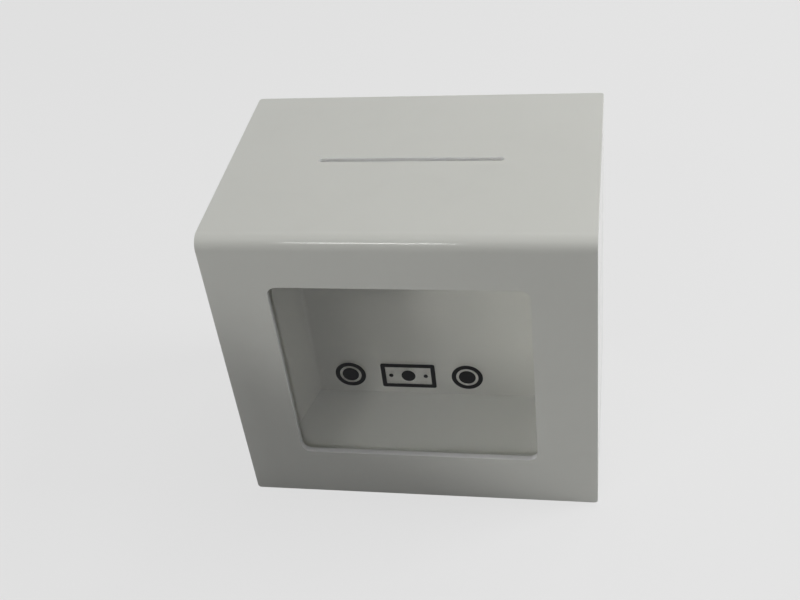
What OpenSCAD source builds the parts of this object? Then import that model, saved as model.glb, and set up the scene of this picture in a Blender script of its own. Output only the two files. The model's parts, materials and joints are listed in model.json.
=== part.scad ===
// Donation box of gloss white acrylic sheet, with a slot in its top, a clear window
// in its front, a lined collection chamber and a rear door with a cam lock.
// Millimetres. +Z is up, -Y is the front, and the origin is the middle of the underside.

/* [Body] */
// Width of the box across its front
body_w = 300; // [280:5:360]
// Depth of the box from its front to its rear panel
body_d = 210; // [200:5:260]
// Height of the box
body_h = 275; // [265:5:340]
// Thickness of the white sheet
sheet_t = 5; // [4:0.5:6]
// Outer radius of the bend between the front and the top
bend_r = 11; // [8:0.5:16]
// Radius of the shell's outer corners
corner_r = 3; // [1:0.5:4]

/* [Window] */
// Width of the window in the front
window_w = 202; // [140:2:220]
// Height of the window
window_h = 181; // [120:1:190]
// Height of the window's lower edge above the underside
window_z = 49; // [35:1:55]
// Corner radius of the window
window_r = 8; // [4:1:25]
// Thickness of the clear pane
pane_t = 3; // [2:0.5:4]
// Width of the pane's bonded margin behind the front
pane_lap = 12; // [6:1:15]

/* [Label] */
// Height of the label's coins and banknote
label_h = 25; // [15:1:40]
// Width of the label's banknote
note_w = 44; // [36:1:60]
// Space between the label's pictures
label_gap = 13; // [4:1:20]
// Width of the label's black lines
label_line = 3.6; // [2:0.2:4]
// Height of the label's centre above the underside
label_z = 137; // [100:1:180]
// Thickness of the vinyl film
label_t = 0.2; // [0.1:0.05:0.4]

/* [Slot] */
// Length of the slot in the top
slot_l = 150; // [100:5:180]
// Width of the slot
slot_w = 5; // [4.5:0.5:8]
// Distance of the slot's centre line behind the middle of the box
slot_y = 4; // [-10:1:8]

/* [Chamber liner] */
// Thickness of the liner's sheet
liner_t = 3; // [2:0.5:4]
// Height of the liner's back wall above the base
liner_h = 135; // [100:5:150]
// Height of the liner's side walls above the base
liner_side_h = 180; // [160:5:200]
// Inside width of the liner's back wall
liner_back_w = 234; // [200:2:250]
// Outer radius of the liner's bends
liner_bend_r = 7; // [5:0.5:10]
// Distance of the liner's back wall behind the slot
liner_setback = 11.5; // [8:0.5:20]

/* [Slot baffle] */
// Width of the baffle below the slot
baffle_w = 200; // [190:5:240]
// Thickness of the baffle's sheet
baffle_t = 3; // [2:0.5:4]
// Height of the baffle below the top
baffle_h = 55; // [40:5:70]
// Angle by which the baffle leans forward
baffle_lean = 25; // [10:1:30]
// Depth of the flange that is bonded under the top
baffle_flange = 20; // [14:1:30]
// Distance of the baffle behind the slot
baffle_setback = 2.5; // [1:0.5:5]

/* [Rear door] */
// Distance of the door's upright edges from the sides of the box
door_side = 40; // [36:1:55]
// Height of the door's lower edge above the underside
door_z = 42; // [32:1:48]
// Distance of the door's upper edge below the top
door_top = 43; // [38:1:60]
// Gap between the door and the rear panel
door_gap = 1.5; // [1:0.25:2]
// Corner radius of the door
door_r = 5; // [2:1:10]
// Length of the door stops
stop_l = 150; // [100:5:170]
// Width of the door stops
stop_w = 13; // [10:1:16]
// How far the door stops reach behind the door
stop_lap = 5; // [3:0.5:7]

/* [Hinges] */
// Height of a hinge
hinge_l = 40; // [34:2:50]
// Distance of a hinge from the end of the door
hinge_inset = 25; // [20:1:35]
// Width of a hinge leaf from the hinge's axis
leaf_w = 16; // [14:1:20]
// Thickness of a hinge leaf
leaf_t = 1.2; // [1:0.1:1.4]
// Outer radius of the hinge's knuckles
knuckle_r = 2.6; // [2.4:0.1:2.9]
// Gap between the knuckles
knuckle_gap = 0.3; // [0.2:0.05:0.5]
// Height of the knuckles above the rear panel
knuckle_lift = 0.3; // [0.2:0.05:0.5]
// Diameter of the hinge pin
pin_d = 2.4; // [2:0.1:2.8]
// Radial clearance of turning parts
running_gap = 0.05; // [0.02:0.01:0.1]

/* [Screws] */
// Diameter of the hinge screws
screw_d = 3; // [2.5:0.1:3.2]
// Diameter of the screws' heads
screw_head_d = 5.4; // [5:0.1:6]
// Height of the screws' heads
screw_head_h = 1.3; // [1:0.1:1.5]
// Width across the flats of the screws' nuts
nut_af = 5.5; // [5:0.1:6]
// Height of the screws' nuts
nut_h = 2.4; // [1.8:0.1:3]
// Distance of the screws from the ends of a hinge
screw_inset = 8; // [6:0.5:10]

/* [Cam lock] */
// Distance of the lock from the free edge of the door
lock_inset = 18; // [15:1:20]
// Diameter of the lock's barrel
barrel_d = 16; // [15:0.5:17]
// Width across the barrel's flats
barrel_flats = 13.6; // [13.2:0.2:14.4]
// Length of the barrel behind its flange
barrel_l = 16; // [15:0.5:18]
// Diameter of the lock's flange
flange_d = 20; // [19:0.5:22]
// Thickness of the lock's flange
flange_t = 1.8; // [1.6:0.1:2.4]
// Diameter of the turning plug
plug_d = 12; // [11:0.2:12.4]
// Width across the flats of the lock's nut
lock_nut_af = 20; // [19:0.5:21]
// Height of the lock's nut
lock_nut_h = 3.5; // [3:0.1:4]
// Thickness of the lock's washer
washer_t = 0.8; // [0.5:0.1:1.2]
// Length of the cam from the lock's axis to its tip
cam_l = 32; // [29:1:36]
// Width of the cam
cam_w = 13; // [12:0.5:15]
// Thickness of the cam
cam_t = 2; // [1.5:0.1:2.5]
// Thickness of the keeper that the cam locks behind
keeper_t = 10; // [7:0.5:10]
// Width of the keeper
keeper_w = 20; // [18:1:24]
// Height of the keeper
keeper_h = 36; // [26:1:44]

/* [Key] */
// Width of the key's blade
blade_w = 7; // [6:0.2:7.6]
// Thickness of the key
key_t = 1.9; // [1.6:0.1:2.2]
// Length of the key's blade
blade_l = 15; // [13:0.5:15]
// Width of the key's bow
bow_w = 21; // [18:1:26]
// Length of the key's bow
bow_l = 19; // [16:1:24]
// Clearance round the key in its keyway
key_gap = 0.15; // [0.1:0.05:0.2]

/* [Hidden] */
$fn = 64;

sheet_white = [0.86, 0.86, 0.84];
liner_white = [0.8, 0.8, 0.78];
clear = [0.8, 0.9, 0.95, 0.35];
black = [0.03, 0.03, 0.03];
steel = [0.72, 0.73, 0.75];
chrome = [0.85, 0.86, 0.88];
zinc = [0.6, 0.61, 0.63];

eps = 0.01;
front_y = -body_d / 2;
rear_y = body_d / 2;
inner_w = body_w - 2 * sheet_t;
inner_front_y = front_y + sheet_t;
inner_rear_y = rear_y - sheet_t;
inner_top_z = body_h - sheet_t;

pane_front_y = inner_front_y;
slot_rear_y = slot_y + slot_w / 2;
liner_back_y = slot_rear_y + liner_setback;

// The door's opening and the axis of its hinges
door_w = body_w - 2 * door_side;
door_h = body_h - door_z - door_top;
opening_w = door_w + 2 * door_gap;
opening_h = door_h + 2 * door_gap;
opening_r = door_r + door_gap;
door_mid_z = door_z + door_h / 2;
hinge_x = -door_w / 2 - door_gap / 2;
hinge_y = rear_y + knuckle_lift + knuckle_r;
hinge_low_z = door_z + hinge_inset;
hinge_high_z = door_z + door_h - hinge_inset - hinge_l;
pin_r = pin_d / 2;
pin_head_r = pin_r + 0.6;
pin_head_h = 0.8;
frame_knuckle_l = hinge_l / 4;
leaf_gap = 0.1;
leaf_clear = knuckle_r + knuckle_lift + leaf_gap;
screw_x = (leaf_w + leaf_clear) / 2;
screw_hole_gap = 0.1;
// How far a screw's end stands out of its nut
screw_tip = 0.6;
leaf_face_y = rear_y + leaf_t;

// The lock stands on one axis through the door
lock_x = door_w / 2 - lock_inset;
barrel_end_y = rear_y - barrel_l;
flange_y = rear_y + flange_t;
barrel_hole_gap = 0.1;
plug_r = plug_d / 2;
plug_head_r = plug_r + 1;
plug_head_t = 1.1;
cam_gap = 0.2;
cam_front_y = barrel_end_y - cam_gap;
cam_back_y = cam_front_y - cam_t;
tang_w = 7;
tang_gap = 0.05;
cam_screw_r = 2;
cam_screw_l = 4;
cam_screw_head_r = 3.8;
cam_screw_head_t = 1.6;
cam_tip_w = 9;
keyway_l = blade_l + 0.5;
bow_gap = 0.3;
bow_r = 5;
neck_l = 3;
ring_hole_r = 2.3;
ring_hole_inset = 4.5;

// ---- Shapes that repeat ----

// A rectangle with round corners, centred on the origin
module round_rect(w, h, r) {
    square([w - 2 * r, h], center = true);
    square([w, h - 2 * r], center = true);
    for (sx = [-1, 1], sy = [-1, 1])
        translate([sx * (w / 2 - r), sy * (h / 2 - r)]) circle(r);
}

// A rectangle from the origin with one round corner, at the low x and the high y
module one_round_corner(w, h, r) {
    translate([r, 0]) square([w - r, h]);
    square([w, h - r]);
    translate([r, h - r]) circle(r);
}

// A slot with half-round ends, centred on the origin
module slot_outline() {
    square([slot_l - slot_w, slot_w], center = true);
    for (side = [-1, 1]) translate([side * (slot_l - slot_w) / 2, 0]) circle(slot_w / 2);
}

// Stands a drawing up in the XZ plane and gives it thickness t from y0 backwards
module upright(y0, t) {
    translate([0, y0 + t, 0]) rotate([90, 0, 0]) linear_extrude(t) children();
}

// Extrudes a drawing of Y and Z along X, centred, over the width w
module along_x(w) {
    translate([-w / 2, 0, 0]) rotate([90, 0, 90]) linear_extrude(w) children();
}

// A cylinder that lies along Y, from y0 to y1
module rod_y(x, z, r, y0, y1) {
    translate([x, y1, z]) rotate([90, 0, 0]) cylinder(h = y1 - y0, r = r);
}

// The outline of the shell seen from the front, with its two lower corners rounded
module front_outline() {
    translate([0, body_h]) round_rect(body_w, 2 * body_h, corner_r);
}

module white() {
    color(sheet_white) children();
}

// ---- The cabinet ----

// Side view of the shell's outside, or of the room that it encloses, moved in by inset
module shell_profile(inset, r) {
    translate([front_y + inset, -inset]) one_round_corner(body_d, body_h, r);
}

module front_top_shell() {
    white() difference() {
        intersection() {
            along_x(body_w) difference() {
                shell_profile(0, bend_r);
                shell_profile(sheet_t, bend_r - sheet_t);
            }
            upright(front_y - eps, body_d + 2 * eps) front_outline();
            translate([0, -body_d / 2, 0])
                linear_extrude(body_h + eps) round_rect(body_w, 2 * body_d, corner_r);
        }
        upright(front_y - eps, sheet_t + 2 * eps)
            translate([0, window_z + window_h / 2]) round_rect(window_w, window_h, window_r);
        translate([0, slot_y, inner_top_z - eps])
            linear_extrude(sheet_t + 2 * eps) slot_outline();
    }
}

// side is -1 for the left panel and 1 for the right one
module side_panel(side) {
    white() intersection() {
        translate([side * (body_w - sheet_t) / 2, 0, 0]) along_x(sheet_t)
            translate([inner_front_y, 0])
                one_round_corner(body_d - sheet_t, inner_top_z, bend_r - sheet_t);
        upright(front_y, body_d) front_outline();
    }
}

module side_panel_left() {
    side_panel(-1);
}

module side_panel_right() {
    side_panel(1);
}

module base_panel() {
    white() translate([-inner_w / 2, inner_front_y, 0])
        cube([inner_w, body_d - sheet_t, sheet_t]);
}

module rear_panel() {
    white() difference() {
        translate([-inner_w / 2, inner_rear_y, sheet_t])
            cube([inner_w, sheet_t, inner_top_z - sheet_t]);
        upright(inner_rear_y - eps, sheet_t + 2 * eps)
            translate([0, door_mid_z]) round_rect(opening_w, opening_h, opening_r);
        leaf_screw_holes(-1);
    }
}

module window_pane() {
    color(clear) upright(pane_front_y, pane_t)
        translate([0, window_z + window_h / 2])
            round_rect(window_w + 2 * pane_lap, window_h + 2 * pane_lap, window_r);
}

// A coin: a black ring round a disc
module coin() {
    r = label_h / 2;
    difference() {
        circle(r);
        circle(r - label_line);
    }
    circle(r - 1.6 * label_line);
}

// A banknote: a black frame, a round medallion and a dot on each side of it
module banknote() {
    difference() {
        round_rect(note_w, label_h, label_line / 2);
        square([note_w - 2 * label_line, label_h - 2 * label_line], center = true);
    }
    circle(label_h / 2 - 1.9 * label_line);
    for (side = [-1, 1])
        translate([side * (note_w / 2 - 2.2 * label_line), 0]) circle(label_line / 2);
}

module window_label() {
    color(black) upright(pane_front_y - label_t, label_t) translate([0, label_z]) {
        banknote();
        for (side = [-1, 1])
            translate([side * (note_w / 2 + label_gap + label_h / 2), 0]) coin();
    }
}

// ---- The collection chamber ----

// Plan of the chamber grown by g: the back wall and two side walls that are splayed out
// to the front corners of the box, with round corners between them
module chamber_plan(g) {
    half_w = liner_back_w / 2;
    run = [inner_w / 2 - half_w, liner_back_y - inner_front_y];
    splay = atan2(run[0], run[1]);
    r = liner_bend_r - liner_t + g;
    mid = [
        half_w - (liner_bend_r - liner_t) * tan((90 - splay) / 2),
        liner_back_y - liner_bend_r + liner_t
    ];
    side_tangent = mid + r * [cos(splay), sin(splay)];
    front = side_tangent + 2 * norm(run) * [sin(splay), -cos(splay)];
    points = [front, side_tangent, mid + [0, r]];
    polygon([
        for (p = points) p,
        for (i = [len(points) - 1:-1:0]) [-points[i][0], points[i][1]]
    ]);
    for (side = [-1, 1]) translate([side * mid[0], mid[1]]) circle(r);
}

// Side view of the liner: the side walls rise at 45 degrees from the bends to their height
module liner_side_view() {
    rise_y = liner_back_y - liner_bend_r + liner_t;
    rise = liner_side_h - liner_h;
    polygon([
        [front_y, 0], [front_y, liner_side_h], [rise_y - rise, liner_side_h],
        [rise_y, liner_h], [rear_y, liner_h], [rear_y, 0]
    ]);
}

module chamber_liner() {
    color(liner_white) translate([0, 0, sheet_t]) intersection() {
        linear_extrude(liner_side_h) intersection() {
            difference() {
                chamber_plan(liner_t);
                chamber_plan(0);
            }
            translate([-inner_w / 2, inner_front_y]) square([inner_w, body_d]);
        }
        along_x(body_w) liner_side_view();
    }
}

// The baffle's flange lies under the top, and its plate leans forward below the slot
module slot_baffle() {
    top_y = slot_rear_y + baffle_setback;
    plate_l = baffle_h / cos(baffle_lean);
    color(liner_white) along_x(baffle_w) intersection() {
        union() {
            translate([top_y, inner_top_z - baffle_t]) square([baffle_flange, baffle_t]);
            translate([top_y, inner_top_z]) rotate(-baffle_lean)
                translate([0, -plate_l]) square([baffle_t, plate_l + baffle_t]);
        }
        translate([-body_d, 0]) square([2 * body_d, inner_top_z]);
    }
}

// ---- The rear door ----

module rear_door() {
    white() difference() {
        upright(inner_rear_y, sheet_t)
            translate([0, door_mid_z]) round_rect(door_w, door_h, door_r);
        leaf_screw_holes(1);
        upright(inner_rear_y - eps, sheet_t + 2 * eps) translate([lock_x, door_mid_z])
            barrel_outline(barrel_hole_gap);
    }
}

module door_stop(z) {
    white() translate([-stop_l / 2, inner_rear_y - sheet_t, z]) cube([stop_l, sheet_t, stop_w]);
}

module door_stop_lower() {
    door_stop(door_z + stop_lap - stop_w);
}

module door_stop_upper() {
    door_stop(door_z + door_h - stop_lap);
}

module lock_keeper() {
    white() translate([opening_w / 2, inner_rear_y - keeper_t, door_mid_z - keeper_h / 2])
        cube([keeper_w, keeper_t, keeper_h]);
}

// ---- The hinges ----

// Calls its children at both screw heights of both hinges. side is -1 for the leaf
// on the rear panel and 1 for the leaf on the door.
module at_leaf_screws(side) {
    for (z0 = [hinge_low_z, hinge_high_z], z = [screw_inset, hinge_l - screw_inset])
        translate([hinge_x + side * screw_x, 0, z0 + z]) children();
}

module leaf_screw_holes(side) {
    at_leaf_screws(side)
        rod_y(0, 0, screw_d / 2 + screw_hole_gap, inner_rear_y - eps, rear_y + eps);
}

// One knuckle from z0 to z1 with the strip that joins it to its leaf
module knuckle(side, z0, z1, bore_r) {
    difference() {
        union() {
            translate([hinge_x, hinge_y, z0]) cylinder(h = z1 - z0, r = knuckle_r);
            translate([hinge_x + (side > 0 ? door_gap / 2 : -leaf_clear - eps), rear_y, z0])
                cube([leaf_clear - door_gap / 2 + eps, leaf_t, z1 - z0]);
        }
        translate([hinge_x, hinge_y, z0 - eps]) cylinder(h = z1 - z0 + 2 * eps, r = bore_r);
    }
}

module leaf_plate(side, z0) {
    difference() {
        translate([hinge_x + (side > 0 ? leaf_clear : -leaf_w), rear_y, z0])
            cube([leaf_w - leaf_clear, leaf_t, hinge_l]);
        for (z = [screw_inset, hinge_l - screw_inset])
            rod_y(hinge_x + side * screw_x, z0 + z, screw_d / 2 + screw_hole_gap,
                rear_y - eps, leaf_face_y + eps);
    }
}

// The leaf on the rear panel has the two outer knuckles, and the pin sits tight in them
module frame_leaf(z0) {
    color(steel) union() {
        leaf_plate(-1, z0);
        knuckle(-1, z0, z0 + frame_knuckle_l, pin_r);
        knuckle(-1, z0 + hinge_l - frame_knuckle_l, z0 + hinge_l, pin_r);
    }
}

// The leaf on the door has the middle knuckle, which turns on the pin
module door_leaf(z0) {
    start = z0 + frame_knuckle_l + knuckle_gap;
    end = z0 + hinge_l - frame_knuckle_l - knuckle_gap;
    color(steel) union() {
        leaf_plate(1, z0);
        knuckle(1, start, end, pin_r + running_gap);
    }
}

module hinge_pin(z0) {
    color(zinc) translate([hinge_x, hinge_y, z0]) {
        cylinder(h = hinge_l, r = pin_r);
        for (z = [-pin_head_h, hinge_l])
            translate([0, 0, z]) cylinder(h = pin_head_h, r = pin_head_r);
    }
}

module hinge_upper_frame_leaf() {
    frame_leaf(hinge_high_z);
}

module hinge_upper_door_leaf() {
    door_leaf(hinge_high_z);
}

module hinge_upper_pin() {
    hinge_pin(hinge_high_z);
}

module hinge_lower_frame_leaf() {
    frame_leaf(hinge_low_z);
}

module hinge_lower_door_leaf() {
    door_leaf(hinge_low_z);
}

module hinge_lower_pin() {
    hinge_pin(hinge_low_z);
}

// A pan-head screw through the leaf and the sheet, with a crossed recess in its head
module leaf_screw() {
    recess_d = 0.7 * screw_head_h;
    tip_y = inner_rear_y - nut_h - screw_tip;
    difference() {
        union() {
            rod_y(0, 0, screw_d / 2, tip_y, leaf_face_y + eps);
            rod_y(0, 0, screw_head_d / 2, leaf_face_y, leaf_face_y + screw_head_h);
        }
        for (turn = [0, 90])
            translate([0, leaf_face_y + screw_head_h, 0]) rotate([0, turn, 0])
                cube([0.6 * screw_head_d, 2 * recess_d, 0.16 * screw_head_d], center = true);
    }
}

module leaf_nut() {
    difference() {
        translate([0, inner_rear_y, 0]) rotate([90, 0, 0])
            cylinder(h = nut_h, r = nut_af / sqrt(3), $fn = 6);
        rod_y(0, 0, screw_d / 2, inner_rear_y - nut_h - eps, inner_rear_y + eps);
    }
}

module frame_leaf_screws() {
    color(zinc) at_leaf_screws(-1) leaf_screw();
}

module frame_leaf_nuts() {
    color(zinc) at_leaf_screws(-1) leaf_nut();
}

module door_leaf_screws() {
    color(zinc) at_leaf_screws(1) leaf_screw();
}

module door_leaf_nuts() {
    color(zinc) at_leaf_screws(1) leaf_nut();
}

// ---- The cam lock ----

// Section of the barrel: a circle with two flats that stop it turning in the door
module barrel_outline(gap) {
    intersection() {
        circle(barrel_d / 2 + gap);
        square([barrel_flats + 2 * gap, barrel_d + 4 * gap], center = true);
    }
}

module lock_barrel() {
    color(chrome) difference() {
        union() {
            upright(barrel_end_y, barrel_l) translate([lock_x, door_mid_z]) barrel_outline(0);
            rod_y(lock_x, door_mid_z, flange_d / 2, rear_y, flange_y);
        }
        rod_y(lock_x, door_mid_z, plug_r + running_gap, barrel_end_y - eps, flange_y + eps);
        rod_y(lock_x, door_mid_z, plug_head_r + running_gap,
            flange_y - plug_head_t - running_gap, flange_y + eps);
    }
}

module lock_washer() {
    color(zinc) difference() {
        rod_y(lock_x, door_mid_z, lock_nut_af / 2, inner_rear_y - washer_t, inner_rear_y);
        rod_y(lock_x, door_mid_z, barrel_d / 2, inner_rear_y - washer_t - eps, inner_rear_y + eps);
    }
}

module lock_nut() {
    nut_y = inner_rear_y - washer_t;
    color(zinc) difference() {
        translate([lock_x, nut_y, door_mid_z]) rotate([90, 0, 0])
            cylinder(h = lock_nut_h, r = lock_nut_af / sqrt(3), $fn = 6);
        rod_y(lock_x, door_mid_z, barrel_d / 2, nut_y - lock_nut_h - eps, nut_y + eps);
    }
}

module lock_plug() {
    tang_l = cam_t - 0.1;
    color(chrome) difference() {
        union() {
            rod_y(lock_x, door_mid_z, plug_r, cam_front_y, flange_y);
            rod_y(lock_x, door_mid_z, plug_head_r, flange_y - plug_head_t, flange_y);
            translate([lock_x, cam_front_y - tang_l / 2, door_mid_z])
                cube([tang_w, tang_l + 2 * eps, tang_w], center = true);
        }
        translate([lock_x, flange_y - keyway_l / 2 + eps, door_mid_z])
            cube([key_t + 2 * key_gap, keyway_l + 2 * eps, blade_w + 2 * key_gap], center = true);
        rod_y(lock_x, door_mid_z, cam_screw_r, cam_back_y - eps, cam_back_y + cam_screw_l);
    }
}

// The cam hangs down when the lock is open
module lock_cam() {
    hole_w = tang_w + 2 * tang_gap;
    tip_r = cam_tip_w / 2;
    color(zinc) difference() {
        upright(cam_back_y, cam_t) translate([lock_x, door_mid_z]) {
            circle(cam_w / 2);
            translate([-tip_r, tip_r - cam_l]) square([2 * tip_r, cam_l - tip_r]);
            translate([0, tip_r - cam_l]) circle(tip_r);
        }
        translate([lock_x, cam_back_y + cam_t / 2, door_mid_z])
            cube([hole_w, cam_t + 2 * eps, hole_w], center = true);
    }
}

module cam_screw() {
    color(zinc) difference() {
        union() {
            rod_y(lock_x, door_mid_z, cam_screw_r, cam_back_y - eps, cam_back_y + cam_screw_l);
            rod_y(lock_x, door_mid_z, cam_screw_head_r, cam_back_y - cam_screw_head_t, cam_back_y);
        }
        for (turn = [0, 90])
            translate([lock_x, cam_back_y - cam_screw_head_t, door_mid_z]) rotate([0, turn, 0])
                cube([1.1 * cam_screw_head_r, cam_screw_head_t, 0.3 * cam_screw_head_r], center = true);
    }
}

// The key's outline, drawn with its blade along -x and its bow along +x
module key_outline() {
    tooth = 0.22 * blade_w;
    pitch = blade_l / 5;
    bow_x = bow_gap + neck_l + bow_l / 2;
    difference() {
        union() {
            translate([-blade_l, -blade_w / 2]) square([blade_l + bow_gap + eps, blade_w]);
            translate([bow_gap, -0.65 * blade_w]) square([neck_l + 1, 1.3 * blade_w]);
            translate([bow_x, 0]) round_rect(bow_l, bow_w, bow_r);
        }
        // Cuts for the lock's pins
        for (i = [0:3])
            translate([-blade_l + (i + 0.8) * pitch, -blade_w / 2]) rotate(45)
                square((1 + 0.25 * (i % 3)) * tooth, center = true);
        // Pointed tip
        for (side = [-1, 1])
            translate([-blade_l, side * blade_w / 2]) rotate(45) square(0.5 * blade_w, center = true);
        // Hole for a key ring
        translate([bow_x + bow_l / 2 - ring_hole_inset, 0]) circle(ring_hole_r);
    }
}

module key() {
    color(chrome) translate([lock_x - key_t / 2, flange_y, door_mid_z])
        rotate([90, 0, 90]) linear_extrude(key_t) key_outline();
}

front_top_shell();
side_panel_left();
side_panel_right();
base_panel();
rear_panel();
window_pane();
window_label();
chamber_liner();
slot_baffle();
rear_door();
door_stop_lower();
door_stop_upper();
lock_keeper();
hinge_upper_frame_leaf();
hinge_upper_door_leaf();
hinge_upper_pin();
hinge_lower_frame_leaf();
hinge_lower_door_leaf();
hinge_lower_pin();
frame_leaf_screws();
frame_leaf_nuts();
door_leaf_screws();
door_leaf_nuts();
lock_barrel();
lock_washer();
lock_nut();
lock_plug();
lock_cam();
cam_screw();
key();
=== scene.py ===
"""Donation box of gloss white acrylic sheet: its fine shapes, its finishes and its stage."""

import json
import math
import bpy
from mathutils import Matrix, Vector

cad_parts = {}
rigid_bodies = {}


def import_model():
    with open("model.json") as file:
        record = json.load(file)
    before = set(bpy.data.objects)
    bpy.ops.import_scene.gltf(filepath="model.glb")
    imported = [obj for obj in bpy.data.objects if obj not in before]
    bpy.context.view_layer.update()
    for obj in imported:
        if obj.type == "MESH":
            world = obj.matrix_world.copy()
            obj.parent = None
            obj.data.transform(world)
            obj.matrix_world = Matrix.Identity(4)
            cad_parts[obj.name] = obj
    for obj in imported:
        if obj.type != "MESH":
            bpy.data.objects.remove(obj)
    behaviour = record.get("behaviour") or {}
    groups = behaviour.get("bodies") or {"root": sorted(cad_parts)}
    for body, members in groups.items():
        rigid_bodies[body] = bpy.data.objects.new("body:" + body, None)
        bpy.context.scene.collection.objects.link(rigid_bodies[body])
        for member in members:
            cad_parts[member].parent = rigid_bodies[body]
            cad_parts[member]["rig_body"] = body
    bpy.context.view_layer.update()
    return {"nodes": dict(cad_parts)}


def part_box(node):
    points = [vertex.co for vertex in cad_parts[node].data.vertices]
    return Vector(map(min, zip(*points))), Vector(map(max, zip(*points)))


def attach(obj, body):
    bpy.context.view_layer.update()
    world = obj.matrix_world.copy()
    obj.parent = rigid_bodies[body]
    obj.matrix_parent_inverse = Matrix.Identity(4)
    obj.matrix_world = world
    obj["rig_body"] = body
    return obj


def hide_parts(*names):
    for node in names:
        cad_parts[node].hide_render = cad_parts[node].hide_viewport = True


bl_info = {
    "name": "Donation Box",
    "version": (1, 0, 0),
    "blender": (4, 5, 0),
    "location": "View3D > Sidebar > Donation Box",
    "description": "Makes the sheets, window, hinges, lock and stage of an acrylic donation box",
    "category": "Object",
}

import bmesh
import bpy
from bpy.props import FloatProperty, FloatVectorProperty, PointerProperty
from mathutils import Matrix, Vector

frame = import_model()

# Lengths are in metres, angles in radians. The front looks along -Y.
X, Y, Z = Vector((1, 0, 0)), Vector((0, 1, 0)), Vector((0, 0, 1))
FULL_TURN = 2 * math.pi


def centre(box):
    return (box[0] + box[1]) / 2


def span(box):
    return box[1] - box[0]


# Boxes of the nodes that the pieces are measured from
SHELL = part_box("front_top_shell")
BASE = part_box("base_panel")
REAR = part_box("rear_panel")
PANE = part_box("window_pane")
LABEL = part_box("window_label")
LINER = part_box("chamber_liner")
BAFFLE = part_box("slot_baffle")
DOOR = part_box("rear_door")
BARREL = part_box("lock_barrel")
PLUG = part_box("lock_plug")

SHEET = span(BASE).z
DOOR_SIZE = span(DOOR)
DOOR_MID = centre(DOOR)
LOCK_AXIS = centre(BARREL)
REAR_FACE = REAR[1].y


# ---- Settings ----


def length(name, description, default):
    return FloatProperty(
        name=name, description=description, default=default, min=0, precision=5, unit="LENGTH"
    )


def share(name, description, default):
    return FloatProperty(
        name=name, description=description, default=default, min=0, max=1, subtype="FACTOR"
    )


def tint(name, description, default):
    return FloatVectorProperty(
        name=name, description=description, default=default, size=3, min=0, max=1, subtype="COLOR"
    )


def angle(name, description, degrees):
    return FloatProperty(
        name=name, description=description, default=math.radians(degrees), unit="ROTATION"
    )


class SheetSettings(bpy.types.PropertyGroup):
    """Shapes of the acrylic sheets"""

    bend_radius: length("Bend radius", "Outer radius of the bend of the front and the top", 0.011)
    corner_radius: length("Corner radius", "Radius of the shell's free corners", 0.003)
    edge_rounding: length("Edge rounding", "Radius of the polished edges", 0.00035)
    window_lap: length("Window lap", "Width of the pane's margin behind the front", 0.012)
    window_radius: length("Window radius", "Corner radius of the window", 0.008)
    slot_length: length("Slot length", "Length of the slot in the top", 0.150)
    slot_width: length("Slot width", "Width of the slot", 0.005)
    slot_setback: length("Slot setback", "How far the slot lies behind the middle", 0.004)
    door_gap: length("Door gap", "Gap between the door and the rear panel", 0.0015)
    door_radius: length("Door radius", "Corner radius of the door", 0.005)
    liner_thickness: length("Liner thickness", "Thickness of the liner's sheet", 0.003)
    liner_back_width: length("Liner back width", "Inside width of the liner's back wall", 0.234)
    liner_back_height: length("Liner back height", "Height of the liner's back wall", 0.135)
    liner_bend_radius: length("Liner bend radius", "Outer radius of the liner's bends", 0.007)
    baffle_thickness: length("Baffle thickness", "Thickness of the baffle's sheet", 0.003)
    baffle_flange: length("Baffle flange", "Depth of the flange under the top", 0.020)
    baffle_lean: angle("Baffle lean", "Angle by which the baffle leans forward", 25)
    baffle_bend_radius: length("Baffle bend radius", "Radius of the baffle's bend", 0.004)


class LabelSettings(bpy.types.PropertyGroup):
    """Shapes of the vinyl pictures on the pane"""

    note_width: length("Banknote width", "Width of the banknote", 0.044)
    line_width: length("Line width", "Width of the black lines", 0.0036)
    film_edge: length("Film edge", "Radius of the film's cut edge", 0.00004)


class HardwareSettings(bpy.types.PropertyGroup):
    """Shapes of the hinges, the screws and the lock"""

    leaf_width: length("Leaf width", "Width of a hinge leaf from the hinge's axis", 0.016)
    leaf_thickness: length("Leaf thickness", "Thickness of a hinge leaf", 0.0012)
    leaf_clearance: length("Leaf clearance", "Distance of a leaf's plate from the axis", 0.003)
    leaf_corner: length("Leaf corner", "Radius of a leaf's outer corners", 0.0012)
    knuckle_radius: length("Knuckle radius", "Outer radius of the rolled knuckles", 0.0026)
    knuckle_gap: length("Knuckle gap", "Gap between the knuckles", 0.0003)
    knuckle_wrap: angle("Knuckle wrap", "Angle by which a knuckle is rolled round its pin", 300)
    pin_radius: length("Pin radius", "Radius of a hinge's pin", 0.0012)
    pin_head_height: length("Pin head height", "Height of the heads of a hinge's pin", 0.0008)
    screw_inset: length("Screw inset", "Distance of the screws from a hinge's ends", 0.008)
    screw_radius: length("Screw radius", "Radius of a hinge screw", 0.0015)
    head_radius: length("Head radius", "Radius of a screw's head", 0.0027)
    head_height: length("Head height", "Height of a screw's head", 0.0013)
    barrel_flats: length("Barrel flats", "Width of the lock's barrel across its flats", 0.0136)
    barrel_radius: length("Barrel radius", "Radius of the lock's barrel", 0.008)
    thread_pitch: length("Thread pitch", "Pitch of the barrel's thread", 0.001)
    thread_depth: length("Thread depth", "Depth of the barrel's thread", 0.00045)
    plug_radius: length("Plug radius", "Radius of the turning plug", 0.006)
    plug_head_radius: length("Plug head radius", "Radius of the plug's head", 0.007)
    plug_head_height: length("Plug head height", "Height of the plug's head", 0.0011)
    steel_edge: length("Steel edge", "Radius of the edges of stamped steel", 0.00015)


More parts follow.
